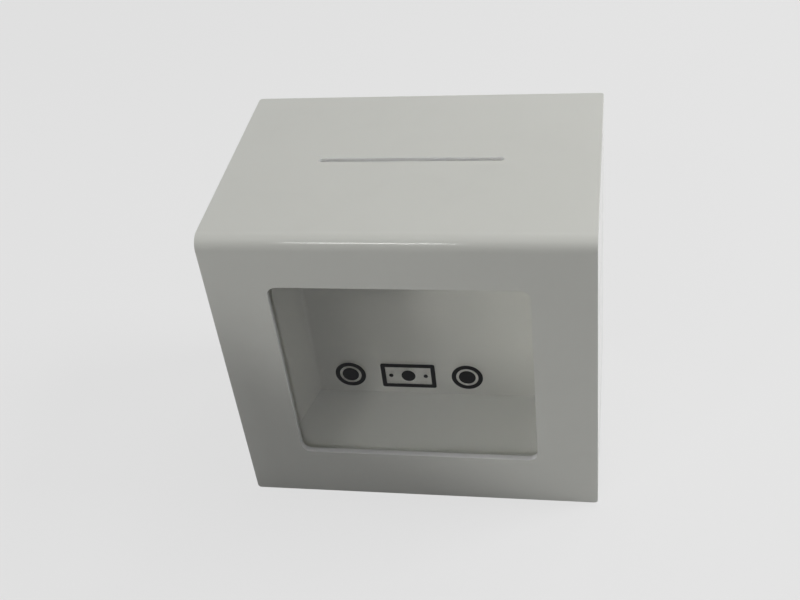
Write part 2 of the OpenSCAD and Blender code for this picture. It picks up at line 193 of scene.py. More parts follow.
class FinishSettings(bpy.types.PropertyGroup):
    """Colours and gloss of the finishes"""

    white: tint("White", "Colour of the gloss white sheet", (0.685, 0.69, 0.645))
    # Much lighter than the sheet's white: painted glow that makes the cut edges show brighter than
    # their light alone makes them
    edge_white_painted_glow: tint("White edge", "Colour of the sheet's polished edges", (0.93, 0.93, 0.9))
    liner: tint("Liner", "Colour of the liner's sheet", (0.705, 0.705, 0.655))
    clear: tint("Clear", "Colour of the clear pane", (0.985, 0.985, 0.975))
    vinyl: tint("Vinyl", "Colour of the black film", (0.006, 0.006, 0.0065))
    steel: tint("Steel", "Colour of the hinge leaves", (0.56, 0.56, 0.565))
    zinc: tint("Zinc", "Colour of the zinc plating", (0.6, 0.62, 0.65))
    chrome: tint("Chrome", "Colour of the lock's chrome", (0.72, 0.725, 0.74))
    nickel: tint("Nickel", "Colour of the key's nickel plating", (0.66, 0.64, 0.6))
    dust: tint("Dust", "Colour of dust", (0.45, 0.43, 0.39))
    sheet_roughness: share("Sheet roughness", "Roughness of the clean gloss sheet", 0.06)


class StageSettings(bpy.types.PropertyGroup):
    """Camera and floor"""

    camera_place: FloatVectorProperty(
        name="Camera place", description="Where the camera stands", size=3,
        subtype="TRANSLATION", unit="LENGTH", default=(0.165195, -0.767851, 0.767074)
    )
    camera_azimuth: angle("Camera azimuth", "How far right of the front the camera is", 13.7685)
    camera_elevation: angle("Camera elevation", "How far the camera looks down", 38.7286)
    camera_roll: angle("Camera roll", "How far the camera is turned about its view", -7.8323)
    lens: FloatProperty(
        name="Lens", description="Focal length in millimetres", default=52.194, unit="CAMERA"
    )
    backdrop: share("Backdrop", "Level at which the floor and the backdrop show", 0.752)
    floor_tone: share("Floor tone", "Share of the light that the floor throws back", 0.45)
    shadow_tone: share("Shadow tone", "How strongly shadows show on the floor", 0.12)
    ambient: share("Ambient", "Level of the light from all round", 0.035)


class DonationBoxSettings(bpy.types.PropertyGroup):
    """Everything that a user may change"""

    sheets: PointerProperty(type=SheetSettings)
    label: PointerProperty(type=LabelSettings)
    hardware: PointerProperty(type=HardwareSettings)
    finishes: PointerProperty(type=FinishSettings)
    stage: PointerProperty(type=StageSettings)


# ---- Mesh tools ----

# Points nearer to each other than this count as one
SAME_PLACE = 1e-6
# Points within this of a depth lie at that depth
SAME_DEPTH = 1e-5
# Points within this of a cutting plane lie in it
CUT_PRECISION = 1e-7
# Edges whose faces turn by more than this are rounded
SHARP_ANGLE = math.radians(32)
# Neighbouring faces of a copied mesh that turn by less than this are one flat face
FLAT_ANGLE = math.radians(0.5)
# How much the larger of two faces decides the shading of their edge, from 1 to 100
FLAT_WEIGHT = 100
# Steps round a small hole, along a round corner and across a rim
HOLE_STEPS = 24
CORNER_STEPS = 8
RIM_STEPS = 5


def facing(place, right, up):
    """Matrix that stands a drawing at place, with its X along right and its Y along up."""
    matrix = Matrix((right, up, right.cross(up))).transposed().to_4x4()
    matrix.translation = place
    return matrix


def facing_front(x, y, z):
    return facing((x, y, z), X, Z)


def facing_rear(x, y, z):
    return facing((x, y, z), -X, Z)


def whole(bm):
    return bm.verts[:] + bm.edges[:] + bm.faces[:]


def verts_among(items):
    return [item for item in items if isinstance(item, bmesh.types.BMVert)]


def bevel(bm, geom, width, steps, affect):
    bmesh.ops.bevel(
        bm, geom=geom, offset=width, offset_type="OFFSET", segments=steps, profile=0.5,
        affect=affect, material=-1, loop_slide=False
    )


def round_corners(bm, corners, radius, steps=CORNER_STEPS):
    bevel(bm, list(corners), radius, steps, "VERTICES")


def plate_face(bm, at, width, height, radius=0, steps=CORNER_STEPS):
    """Adds a flat rectangle with round corners, centred on at, and returns its face."""
    before = set(bm.faces)
    corners = bmesh.ops.create_grid(
        bm, x_segments=1, y_segments=1, size=0.5,
        matrix=at @ Matrix.Diagonal((width, height, 1, 1))
    )["verts"]
    if radius:
        round_corners(bm, corners, radius, steps)
    return next(face for face in bm.faces if face not in before)


def disc_face(bm, at, radius, steps):
    """Adds a flat disc and returns its face."""
    before = set(bm.faces)
    bmesh.ops.create_circle(bm, cap_ends=True, radius=radius, segments=steps, matrix=at)
    return next(face for face in bm.faces if face not in before)


def long_hole_face(bm, at, size, width):
    """Adds the flat face of a long hole with half-round ends. It is a disc that is turned so that
    two of its sides lie along the hole, and is then drawn out."""
    half_step = math.pi / HOLE_STEPS
    radius = width / 2 / math.cos(half_step)
    face = disc_face(bm, Matrix.Rotation(half_step, 4, "Z"), radius, HOLE_STEPS)
    for side in (-1, 1):
        end = [vert for vert in face.verts if vert.co.x * side > 0]
        bmesh.ops.translate(bm, verts=end, vec=side * (size - width) / 2 * X)
    bmesh.ops.transform(bm, matrix=at, verts=face.verts)
    return face


def pierce(bm, face, *sorts):
    """Cuts holes in a flat face. Each sort is a list of holes and a margin. A hole is a face of
    its own, drawn margin too large all round. The margin becomes a ring of quads round the hole,
    so that its edge can be rounded evenly."""
    normal = face.normal.copy()
    rims = list(face.edges)
    doomed = [face]
    for holes, margin in sorts:
        for hole in holes:
            ring = bmesh.ops.inset_individual(
                bm, faces=[hole], thickness=margin, use_even_offset=True
            )["faces"]
            rims += [edge for quad in ring for edge in quad.edges if len(edge.link_faces) == 1]
        doomed += holes
    bmesh.ops.delete(bm, geom=doomed, context="FACES_ONLY")
    bmesh.ops.triangle_fill(bm, use_beauty=True, use_dissolve=False, edges=rims, normal=normal)


def start_edge(bm, *ends):
    return bm.edges.new([bm.verts.new(end) for end in ends])


def pull(bm, edge, step):
    """Drags an edge along step, leaves a strip behind it and returns the moved edge."""
    new = bmesh.ops.extrude_edge_only(bm, edges=[edge])["geom"]
    ends = verts_among(new)
    bmesh.ops.translate(bm, verts=ends, vec=step)
    return next(
        item for item in new
        if isinstance(item, bmesh.types.BMEdge) and all(vert in ends for vert in item.verts)
    )


def swing(bm, edge, axis_place, axis, turn, steps):
    """Swings an edge about an axis, leaves a curved strip behind it and returns the moved edge."""
    last = bmesh.ops.spin(
        bm, geom=[edge, *edge.verts], cent=axis_place, axis=axis, dvec=(0, 0, 0), angle=turn,
        steps=steps, use_merge=False, use_duplicate=False
    )["geom_last"]
    return next(item for item in last if isinstance(item, bmesh.types.BMEdge))


def lathe(bm, at, profile, steps):
    """Turns a closed solid from a profile of (radius, height) points, which starts and ends on
    the axis or comes back to its first point."""
    before = set(bm.verts)
    verts = [bm.verts.new((radius, 0, height)) for radius, height in profile]
    edges = [bm.edges.new(pair) for pair in zip(verts, verts[1:])]
    bmesh.ops.spin(
        bm, geom=verts + edges, cent=(0, 0, 0), axis=Z, dvec=(0, 0, 0), angle=FULL_TURN,
        steps=steps, use_merge=True, use_duplicate=False
    )
    new = [vert for vert in bm.verts if vert not in before]
    bmesh.ops.remove_doubles(bm, verts=new, dist=SAME_PLACE)
    new = [vert for vert in bm.verts if vert not in before]
    bmesh.ops.transform(bm, matrix=at, verts=new)


def thicken(bm, face, step):
    """Gives a flat face a thickness along step, as a closed solid."""
    new = bmesh.ops.extrude_face_region(bm, geom=[face], use_keep_orig=True)["geom"]
    bmesh.ops.translate(bm, verts=verts_among(new), vec=step)


def trim(bm, place, outward):
    """Cuts a closed solid off at a plane and closes it again."""
    bmesh.ops.bisect_plane(
        bm, geom=whole(bm), dist=CUT_PRECISION, plane_co=place, plane_no=outward, clear_outer=True
    )
    bmesh.ops.holes_fill(bm, edges=[edge for edge in bm.edges if edge.is_boundary])
    bmesh.ops.recalc_face_normals(bm, faces=bm.faces)


def face_towards(bm, outward):
    """Turns all faces of an open sheet so that the largest one looks along outward."""
    bmesh.ops.recalc_face_normals(bm, faces=bm.faces)
    if max(bm.faces, key=lambda face: face.calc_area()).normal.dot(outward) < 0:
        bmesh.ops.reverse_faces(bm, faces=bm.faces)


def rounded_rims(bm, places, inner_radius, y, width):
    """Rounds the edges at depth y that run round the places, farther out than inner_radius."""

    def on_rim(vert):
        reach = min(math.hypot(vert.co.x - place.x, vert.co.z - place.z) for place in places)
        return abs(vert.co.y - y) < SAME_DEPTH and reach > inner_radius

    rims = [edge for edge in bm.edges if all(on_rim(vert) for vert in edge.verts)]
    bevel(bm, rims, width, RIM_STEPS, "EDGES")


def merged_copy(node):
    """The mesh of a frame node as a bmesh, merged and with its flat faces whole."""
    bm = bmesh.new()
    bm.from_mesh(frame["nodes"][node].data)
    bmesh.ops.remove_doubles(bm, verts=bm.verts, dist=SAME_PLACE)
    bmesh.ops.dissolve_limit(bm, angle_limit=FLAT_ANGLE, verts=bm.verts, edges=bm.edges)
    return bm


def mesh_object(name, bm):
    """Turns a bmesh into an object of the scene."""
    mesh = bpy.data.meshes.new(name)
    bm.to_mesh(mesh)
    bm.free()
    thing = bpy.data.objects.new(name, mesh)
    bpy.context.scene.collection.objects.link(thing)
    return thing


def make_piece(name, bm, node, slot, rounding, thickness=0, segments=3):
    """Makes the piece that stands for a node, with its rounded edges and the finish of its slot.
    Where a thickness is given, the mesh is one side of a sheet. It gets that thickness, and its
    cut edges get their own finish where the slot has one."""
    if not thickness:
        bmesh.ops.recalc_face_normals(bm, faces=bm.faces)
    for face in bm.faces:
        face.smooth = True
    piece = mesh_object(name, bm)
    finishes = SLOT_FINISHES[slot] if thickness else SLOT_FINISHES[slot][:1]
    for label in finishes:
        piece.data.materials.append(finish(label))
    if thickness:
        wall = piece.modifiers.new("Thickness", "SOLIDIFY")
        wall.thickness = thickness
        wall.offset = -1
        wall.use_even_offset = True
        wall.use_quality_normals = True
        wall.material_offset_rim = len(finishes) - 1
    edges = piece.modifiers.new("Rounded edges", "BEVEL")
    edges.width = rounding
    edges.segments = segments
    edges.limit_method = "ANGLE"
    edges.angle_limit = SHARP_ANGLE
    edges.loop_slide = False
    edges.material = -1
    piece.modifiers.new("Flat faces", "WEIGHTED_NORMAL").weight = FLAT_WEIGHT
    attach(piece, frame["nodes"][node]["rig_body"])
    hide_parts(node)


# ---- Shader tools ----


def feed(tree, socket, value):
    if isinstance(value, bpy.types.NodeSocket):
        tree.links.new(value, socket)
    else:
        socket.default_value = value


def add_node(tree, kind, settings=None, inputs=None):
    node = tree.nodes.new(kind)
    for name, value in (settings or {}).items():
        setattr(node, name, value)
    for name, value in (inputs or {}).items():
        feed(tree, node.inputs[name], value)
    return node


def math_node(tree, operation, first, *others):
    """Joins two or more values from left to right with one operation."""
    for other in others:
        node = add_node(tree, "ShaderNodeMath", {"operation": operation})
        feed(tree, node.inputs[0], first)
        feed(tree, node.inputs[1], other)
        first = node.outputs[0]
    return first


def weighted_sum(tree, *pairs):
    """Adds up (value, weight) pairs."""
    return math_node(tree, "ADD", *(math_node(tree, "MULTIPLY", *pair) for pair in pairs))


def remap(tree, value, low, high, to_low=0.0, to_high=1.0):
    """Maps low to high onto to_low to to_high, smoothly and without going past them."""
    return add_node(
        tree, "ShaderNodeMapRange", {"interpolation_type": "SMOOTHSTEP"},
        {"Value": value, "From Min": low, "From Max": high, "To Min": to_low, "To Max": to_high}
    ).outputs[0]


def opaque(colour, brightness=1):
    """A colour made lighter or darker, with full alpha."""
    return (*(brightness * Vector(colour)), 1)


def blend_colour(tree, factor, first, second):
    """Mixes two colours. The node has sockets of the same names for values and for vectors, so
    those for colours are found by their numbers."""
    node = add_node(tree, "ShaderNodeMix", {"data_type": "RGBA"})
    feed(tree, node.inputs[0], factor)
    feed(tree, node.inputs[6], first)
    feed(tree, node.inputs[7], second)
    return node.outputs[2]


def stretched(tree, vector, scale, turn=(0, 0, 0)):
    return add_node(
        tree, "ShaderNodeMapping", None, {"Vector": vector, "Scale": scale, "Rotation": turn}
    ).outputs[0]


def noise(tree, vector, scale=1.0, detail=3.0, distortion=0.0):
    """Cloudy pattern from 0 to 1."""
    return add_node(
        tree, "ShaderNodeTexNoise", None,
        {"Vector": vector, "Scale": scale, "Detail": detail, "Distortion": distortion}
    ).outputs[0]


def cells(tree, vector, scale):
    """Outputs of a pattern of irregular cells."""
    return add_node(
        tree, "ShaderNodeTexVoronoi", None, {"Vector": vector, "Scale": scale}
    ).outputs


def group_tree(name, inputs, output):
    """A node group with float inputs after its Vector, and one float output."""
    tree = bpy.data.node_groups.new(name, "ShaderNodeTree")
    kind = "NodeSocketFloat"
    tree.interface.new_socket(name="Vector", in_out="INPUT", socket_type="NodeSocketVector")
    for label, default in inputs.items():
        socket = tree.interface.new_socket(name=label, in_out="INPUT", socket_type=kind)
        socket.default_value = default
    tree.interface.new_socket(name=output, in_out="OUTPUT", socket_type=kind)
    given = tree.nodes.new("NodeGroupInput").outputs
    return tree, given, tree.nodes.new("NodeGroupOutput").inputs[0]


# ---- Shared effects ----

# A scale is how often a pattern repeats in a metre. A fade is the pair of levels of a pattern
# between which its effect comes in.

# Hairlines: their directions, their tilt, their scale, and the patches that they show in
SCRATCH_TURNS = (0.35, 1.4, 2.5)
SCRATCH_TILT = 0.6
SCRATCH_SCALE = (22, 1900, 1900)
SCRATCH_FADE = (0.7, 0.76)
SCRATCHED_SCALE = 14.0
SCRATCHED_FADE = (0.42, 0.62)

# Smudges: their patches, and the wiping strokes that thin them down to a least share
SMUDGE_FADE = (0.48, 0.72)
SMUDGE_DISTORTION = 0.8
STROKE_SCALE = (60, 190, 60)
STROKE_TURN = (0, 0.5, 0.9)
STROKE_FADE = (0.3, 0.7)
STROKE_LEAST = 0.5

# Dust: how far up a face looks, its specks, the patches with specks, and its thin film
UPWARD_FADE = (0.4, 0.95)
SPECK_SCALE = 420.0
SPECK_FADE = (0.1, 0.05)
SPECKLED_SCALE = 130.0
SPECKLED_FADE = (0.52, 0.66)
FILM_SCALE = 9.0
FILM_FADE = (0.35, 0.8)
FILM_MOST = 0.12

# Cast sheet: how its slow waves are bent, and its fine ripple
WAVE_DISTORTION = 0.3
RIPPLE_SCALE = 260.0
RIPPLE_SHARE = 0.01


def build_scratches():
    """Hairline scratches in three directions, broken up by a coarse noise."""
    tree, given, result = group_tree("Hairline Scratches", {"Amount": 1.0}, "Mask")
    lines = 0.0
    for turn in SCRATCH_TURNS:
        turned = (turn, SCRATCH_TILT * turn, turn)
        spread = stretched(tree, given["Vector"], SCRATCH_SCALE, turned)
        line = remap(tree, noise(tree, spread, detail=1.0), *SCRATCH_FADE)
        lines = math_node(tree, "MAXIMUM", lines, line)
    patches = remap(tree, noise(tree, given["Vector"], SCRATCHED_SCALE), *SCRATCHED_FADE)
    feed(tree, result, math_node(tree, "MULTIPLY", lines, patches, given["Amount"]))
    return tree


def build_smudges():
    """Soft patches left by hands and cloths."""
    tree, given, result = group_tree("Hand Smudges", {"Scale": 20.0, "Amount": 1.0}, "Mask")
    cloudy = noise(tree, given["Vector"], given["Scale"], distortion=SMUDGE_DISTORTION)
    patches = remap(tree, cloudy, *SMUDGE_FADE)
    wiped = noise(tree, stretched(tree, given["Vector"], STROKE_SCALE, STROKE_TURN))
    strokes = remap(tree, wiped, *STROKE_FADE, STROKE_LEAST)
    feed(tree, result, math_node(tree, "MULTIPLY", patches, strokes, given["Amount"]))
    return tree


def build_dust():
    """Fine specks and a thin film of dust on faces that look up."""
    tree, given, result = group_tree("Settled Dust", {"Amount": 1.0}, "Mask")
    normal = add_node(tree, "ShaderNodeNewGeometry").outputs["Normal"]
    height = add_node(tree, "ShaderNodeSeparateXYZ", None, {"Vector": normal}).outputs["Z"]
    upward = remap(tree, height, *UPWARD_FADE)
    distance = cells(tree, given["Vector"], SPECK_SCALE)["Distance"]
    specks = remap(tree, distance, *SPECK_FADE)
    some = remap(tree, noise(tree, given["Vector"], SPECKLED_SCALE, 2.0), *SPECKLED_FADE)
    film = remap(tree, noise(tree, given["Vector"], FILM_SCALE), *FILM_FADE, 0.0, FILM_MOST)
    mask = math_node(tree, "ADD", math_node(tree, "MULTIPLY", specks, some), film)
    feed(tree, result, math_node(tree, "MULTIPLY", mask, upward, given["Amount"]))
    return tree


def build_waves():
    """The slow unevenness of a cast sheet."""
    tree, given, result = group_tree("Sheet Waves", {"Scale": 11.0}, "Height")
    slow = noise(tree, given["Vector"], given["Scale"], detail=1.0, distortion=WAVE_DISTORTION)
    fine = noise(tree, given["Vector"], RIPPLE_SCALE, detail=2.0)
    ripple = math_node(tree, "MULTIPLY", fine, RIPPLE_SHARE)
    feed(tree, result, math_node(tree, "ADD", slow, ripple))
    return tree


def build_grain():
    """Brushed or rolled grain, which runs the way of the lower scale."""
    scales = {"X Scale": 60.0, "YZ Scale": 3500.0}
    tree, given, result = group_tree("Metal Grain", scales, "Height")
    scale = add_node(
        tree, "ShaderNodeCombineXYZ", None,
        {"X": given["X Scale"], "Y": given["YZ Scale"], "Z": given["YZ Scale"]}
    ).outputs[0]
    feed(tree, result, noise(tree, stretched(tree, given["Vector"], scale), detail=4.0))
    return tree


def build_spangle():
    """The faint crystal pattern of zinc plating."""
    tree, given, result = group_tree("Zinc Spangle", {"Scale": 900.0}, "Mask")
    colour = cells(tree, given["Vector"], given["Scale"])["Color"]
    grey = add_node(tree, "ShaderNodeSeparateColor", None, {"Color": colour}).outputs[0]
    feed(tree, result, grey)
    return tree


EFFECTS = {
    "Hairline Scratches": build_scratches,
    "Hand Smudges": build_smudges,
    "Settled Dust": build_dust,
    "Sheet Waves": build_waves,
    "Metal Grain": build_grain,
    "Zinc Spangle": build_spangle,
}


def effect(tree, name, coords, **inputs):
    """Places a shared effect in a material and returns its output."""
    shared = bpy.data.node_groups.get(name) or EFFECTS[name]()
    return add_node(
        tree, "ShaderNodeGroup", {"node_tree": shared}, {"Vector": coords, **inputs}
    ).outputs[0]


# ---- Finishes ----

ACRYLIC_IOR = 1.49
FILM_IOR = 1.5

# How much rougher a mark makes the white sheet and the clear pane
SHEET_MARKS = {"smudges": 0.07, "scratches": 0.12, "dust": 0.4}
PANE_MARKS = {"smudges": 0.03, "scratches": 0.1}

# Brightness of a touched sheet, of the cutter's marks and of the peel's tips
TOUCHED_WHITE = 0.988
CUTTER_MARK = 0.95
PEEL_TIP = 1.6

# Scales of the cutter's marks, the film's peel and the grain of plating, and the levels of a
# pattern between which roughness goes from its least to its most
CUTTER_SCALE = 700.0
PEEL_SCALE = 1400.0
PLATING_SCALE = 700.0
MIDDLE_LEVELS = (0.3, 0.7)

# Depths of the bumps
WAVE_DEPTH = 0.0004
CUTTER_DEPTH = 0.00001
PEEL_DEPTH = 0.000008

# How dark a handled metal gets, how much smudges show on it, and the wear that it runs through
DULL_METAL = 0.25
METAL_SMUDGES = 0.7
METAL_WEAR = (0.15, 0.6)


def new_material(name, **constants):
    """A material with a Principled BSDF. Constants are given by socket name, with _ for a
    space."""
    material = bpy.data.materials.new(name)
    material.use_nodes = True
    tree = material.node_tree
    shader = tree.nodes["Principled BSDF"]
    for label, value in constants.items():
        shader.inputs[label.replace("_", " ")].default_value = value
    coords = tree.nodes.new("ShaderNodeTexCoord").outputs["Object"]
    return material, tree, shader, coords


def add_bump(tree, shader, height, distance):
    bump = add_node(
        tree, "ShaderNodeBump", None, {"Height": height, "Strength": 1.0, "Distance": distance}
    )
    tree.links.new(bump.outputs["Normal"], shader.inputs["Normal"])


def white_sheet(name, colour, finishes, dust_amount, smudge_amount):
    """Gloss white acrylic with faint hand marks, hairlines and dust."""
    material, tree, shader, coords = new_material(
        name, IOR=ACRYLIC_IOR, Subsurface_Weight=0.12,
        Subsurface_Radius=(0.004, 0.004, 0.0038), Subsurface_Scale=1.0
    )
    smudges = effect(tree, "Hand Smudges", coords, Amount=smudge_amount)
    scratches = effect(tree, "Hairline Scratches", coords, Amount=0.5)
    dust = effect(tree, "Settled Dust", coords, Amount=dust_amount)
    marks = weighted_sum(
        tree, (smudges, SHEET_MARKS["smudges"]), (scratches, SHEET_MARKS["scratches"]),
        (dust, SHEET_MARKS["dust"])
    )
    rough = math_node(tree, "ADD", marks, finishes.sheet_roughness)
    feed(tree, shader.inputs["Roughness"], rough)
    clean = blend_colour(tree, smudges, opaque(colour), opaque(colour, TOUCHED_WHITE))
    dusty = blend_colour(tree, dust, clean, opaque(finishes.dust))
    feed(tree, shader.inputs["Base Color"], dusty)
    add_bump(tree, shader, effect(tree, "Sheet Waves", coords), WAVE_DEPTH)
    return material


def make_gloss_white(name, finishes):
    return white_sheet(name, finishes.white, finishes, dust_amount=0.35, smudge_amount=1.0)


def make_liner_white(name, finishes):
    return white_sheet(name, finishes.liner, finishes, dust_amount=0.5, smudge_amount=0.4)


def make_polished_edge_painted_glow(name, finishes):
    """The cut edge of a sheet, polished but with faint marks of the cutter left in it. Its colour
    is much lighter than the sheet's white: a painted glow on top of the real glow that its
    subsurface scattering gives.
    """
    material, tree, shader, coords = new_material(
        name, IOR=ACRYLIC_IOR, Subsurface_Weight=1.0, Subsurface_Radius=(0.01, 0.01, 0.0095),
        Subsurface_Scale=1.0
    )
    marks = noise(tree, coords, CUTTER_SCALE, detail=2.0)
    rough = remap(tree, marks, *MIDDLE_LEVELS, to_low=0.08, to_high=0.2)
    feed(tree, shader.inputs["Roughness"], rough)
    # The edges' light colour is painted glow, on top of the real glow of the subsurface scattering
    edge = finishes.edge_white_painted_glow
    marked = blend_colour(tree, marks, opaque(edge, CUTTER_MARK), opaque(edge))
    feed(tree, shader.inputs["Base Color"], marked)
    add_bump(tree, shader, marks, CUTTER_DEPTH)
    return material


def make_clear_pane(name, finishes):
    """Clear acrylic that lets straight light through, with faint hand marks."""
    material, tree, shader, coords = new_material(
        name, IOR=ACRYLIC_IOR, Specular_IOR_Level=0.22, Transmission_Weight=1.0, Metallic=0.0,
        Base_Color=opaque(finishes.clear)
    )
    smudges = effect(tree, "Hand Smudges", coords, Scale=26.0, Amount=1.0)
    scratches = effect(tree, "Hairline Scratches", coords, Amount=0.4)
    marks = weighted_sum(
        tree, (smudges, PANE_MARKS["smudges"]), (scratches, PANE_MARKS["scratches"])
    )
    feed(tree, shader.inputs["Roughness"], marks)
    clear = add_node(tree, "ShaderNodeBsdfTransparent", None, {"Color": opaque(finishes.clear)})
    shadow = tree.nodes.new("ShaderNodeLightPath").outputs["Is Shadow Ray"]
    both = add_node(tree, "ShaderNodeMixShader", None, {"Fac": shadow})
    tree.links.new(shader.outputs[0], both.inputs[1])
    tree.links.new(clear.outputs[0], both.inputs[2])
    tree.links.new(both.outputs[0], tree.nodes["Material Output"].inputs["Surface"])
    return material


def make_vinyl(name, finishes):
    """Matt black film with a fine orange peel."""
    material, tree, shader, coords = new_material(name, IOR=FILM_IOR, Specular_IOR_Level=0.12)
    peel = noise(tree, coords, PEEL_SCALE, detail=2.0)
    rough = remap(tree, peel, *MIDDLE_LEVELS, to_low=0.28, to_high=0.4)
    feed(tree, shader.inputs["Roughness"], rough)
    vinyl = finishes.vinyl
    peeled = blend_colour(tree, peel, opaque(vinyl), opaque(vinyl, PEEL_TIP))
    feed(tree, shader.inputs["Base Color"], peeled)
    add_bump(tree, shader, peel, PEEL_DEPTH)
    return material


def metal(name, colour, smooth, rough, depth, grain=None, spangle=0.0):
    """Metal with its grain, its spangle and the dull spots of handling. Its roughness goes from
    smooth to rough."""
    material, tree, shader, coords = new_material(name, Metallic=1.0)
    smudges = effect(tree, "Hand Smudges", coords, Scale=170.0)
    tone = math_node(tree, "MULTIPLY", smudges, METAL_SMUDGES)
    if spangle:
        crystals = effect(tree, "Zinc Spangle", coords)
        tone = math_node(tree, "ADD", tone, math_node(tree, "MULTIPLY", crystals, spangle))
    dulled = blend_colour(tree, tone, opaque(colour), opaque(colour, 1 - DULL_METAL))
    feed(tree, shader.inputs["Base Color"], dulled)
    if grain:
        texture = effect(tree, "Metal Grain", coords, **grain)
    else:
        texture = noise(tree, coords, PLATING_SCALE)
    wear = math_node(tree, "MULTIPLY", math_node(tree, "ADD", texture, smudges), 0.5)
    feed(tree, shader.inputs["Roughness"], remap(tree, wear, *METAL_WEAR, smooth, rough))
    add_bump(tree, shader, texture, depth)
    return material


def make_steel(name, finishes):
    grain = {"X Scale": 3500.0, "YZ Scale": 60.0}
    return metal(name, finishes.steel, smooth=0.24, rough=0.42, depth=0.000012, grain=grain)


def make_zinc(name, finishes):
    return metal(name, finishes.zinc, smooth=0.25, rough=0.45, depth=0.000008, spangle=0.5)


def make_chrome(name, finishes):
    return metal(name, finishes.chrome, smooth=0.06, rough=0.2, depth=0.000003)


def make_nickel(name, finishes):
    grain = {"X Scale": 90.0, "YZ Scale": 2600.0}
    return metal(name, finishes.nickel, smooth=0.16, rough=0.36, depth=0.000008, grain=grain)


FINISHES = {
    "gloss_white_acrylic": make_gloss_white,
    "liner_white_acrylic": make_liner_white,
    "polished_edge_painted_glow": make_polished_edge_painted_glow,
    "clear_acrylic_pane": make_clear_pane,
    "black_vinyl_film": make_vinyl,
    "brushed_hinge_steel": make_steel,
    "zinc_plate": make_zinc,
    "bright_chrome": make_chrome,
    "nickel_key": make_nickel,
}

# The finish of each material slot, and where a sheet's cut edges look different, theirs
SLOT_FINISHES = {
    "white_acrylic": ("gloss_white_acrylic", "polished_edge_painted_glow"),
    "liner_acrylic": ("liner_white_acrylic", "polished_edge_painted_glow"),
    "clear_acrylic": ("clear_acrylic_pane",),
    "black_vinyl": ("black_vinyl_film",),
    "hinge_steel": ("brushed_hinge_steel",),
    "zinc_steel": ("zinc_plate",),
    "lock_chrome": ("bright_chrome",),
    "key_metal": ("nickel_key",),
}


def finish(name):
    settings = bpy.context.scene.donation_box.finishes
    return bpy.data.materials.get(name) or FINISHES[name](name, settings)


# ---- The cabinet ----

# Widths of the rings of faces that a sheet keeps round its large holes and its small ones
RING = 0.0015
SLIM_RING = 0.0004
# Play of a screw or a barrel in its hole, and of a part that turns in another
HOLE_GAP = 0.0001
RUNNING_GAP = 0.00005
# Length of the last stretch of the liner's side walls, as a share of their whole run. It reaches
# past the liner's box, and is trimmed to it.
OVERRUN = 1.1

# Distances in the label's pictures, in line widths: from a coin's rim to the disc in it, from the
# banknote's long side to the disc in it, and from its end to the middle of its dot
COIN_FIELD = 1.6
NOTE_FIELD = 1.9
DOT_INSET = 2.2

HINGES = ("lower", "upper")
# The two leaves of a hinge, and on which side of its axis each lies
LEAVES = (("frame", -1), ("door", 1))


class DONATION_BOX_OT_shell(bpy.types.Operator):
    """Make the front and the top of one bent sheet, with the window and the slot cut in it"""

    bl_idname = "donation_box.shell"
    bl_label = "Front and Top"

    def execute(self, context):
        sheets = context.scene.donation_box.sheets
        low, high = SHELL
        radius = sheets.bend_radius
        bm = bmesh.new()
        edge = start_edge(bm, (low.x, low.y, low.z), (high.x, low.y, low.z))
        edge = pull(bm, edge, (high.z - low.z - radius) * Z)
        bend_place = (0, low.y + radius, high.z - radius)
        edge = swing(bm, edge, bend_place, X, -FULL_TURN / 4, steps=16)
        pull(bm, edge, (high.y - low.y - radius) * Y)
        corners = [vert for vert in bm.verts if len(vert.link_edges) == 2]
        round_corners(bm, corners, sheets.corner_radius)
        face_towards(bm, -Y)
        front = min(bm.faces, key=lambda face: face.calc_center_median().y)
        top = max(bm.faces, key=lambda face: face.calc_center_median().z)
        size = span(PANE)
        margin = 2 * (sheets.window_lap - RING)
        window = plate_face(
            bm, facing_front(0, low.y, centre(PANE).z), size.x - margin, size.z - margin,
            sheets.window_radius + RING, steps=10
        )
        slot = long_hole_face(
            bm, facing((0, sheets.slot_setback, high.z), X, Y),
            sheets.slot_length + 2 * SLIM_RING, sheets.slot_width + 2 * SLIM_RING
        )
        pierce(bm, front, ([window], RING))
        pierce(bm, top, ([slot], SLIM_RING))
        face_towards(bm, -Y + Z)
        make_piece(
            "bent_front_and_top", bm, "front_top_shell", "white_acrylic",
            rounding=sheets.edge_rounding, thickness=SHEET
        )
        return {"FINISHED"}


def side_sheet(side, low, high, sheets):
    """Side panel with its top front corner round, and its lower outer edge rounded as the
    shell's corner is."""
    size = high - low
    outer_x = low.x if side < 0 else high.x
    middle = (low + high) / 2
    bm = bmesh.new()
    face = plate_face(bm, facing((outer_x, middle.y, middle.z), -side * Y, Z), size.y, size.z)
    corner = min(face.verts, key=lambda vert: vert.co.y - vert.co.z)
    round_corners(bm, [corner], sheets.bend_radius - SHEET)
    thicken(bm, bm.faces[:][0], -side * size.x * X)
    bmesh.ops.recalc_face_normals(bm, faces=bm.faces)

    def at_foot(vert):
        return abs(vert.co.x - outer_x) < SAME_PLACE and vert.co.z < low.z + SAME_PLACE

    foot = [edge for edge in bm.edges if all(at_foot(vert) for vert in edge.verts)]
    bevel(bm, foot, sheets.corner_radius, CORNER_STEPS, "EDGES")
    return bm


class DONATION_BOX_OT_side_panels(bpy.types.Operator):
    """Make the two side panels"""

    bl_idname = "donation_box.side_panels"
    bl_label = "Side Panels"

    def execute(self, context):
        sheets = context.scene.donation_box.sheets
        for side, word in ((-1, "left"), (1, "right")):
            node = f"side_panel_{word}"
            make_piece(
                f"{word}_side_sheet", side_sheet(side, *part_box(node), sheets), node,
                "white_acrylic", rounding=sheets.edge_rounding
            )
        return {"FINISHED"}


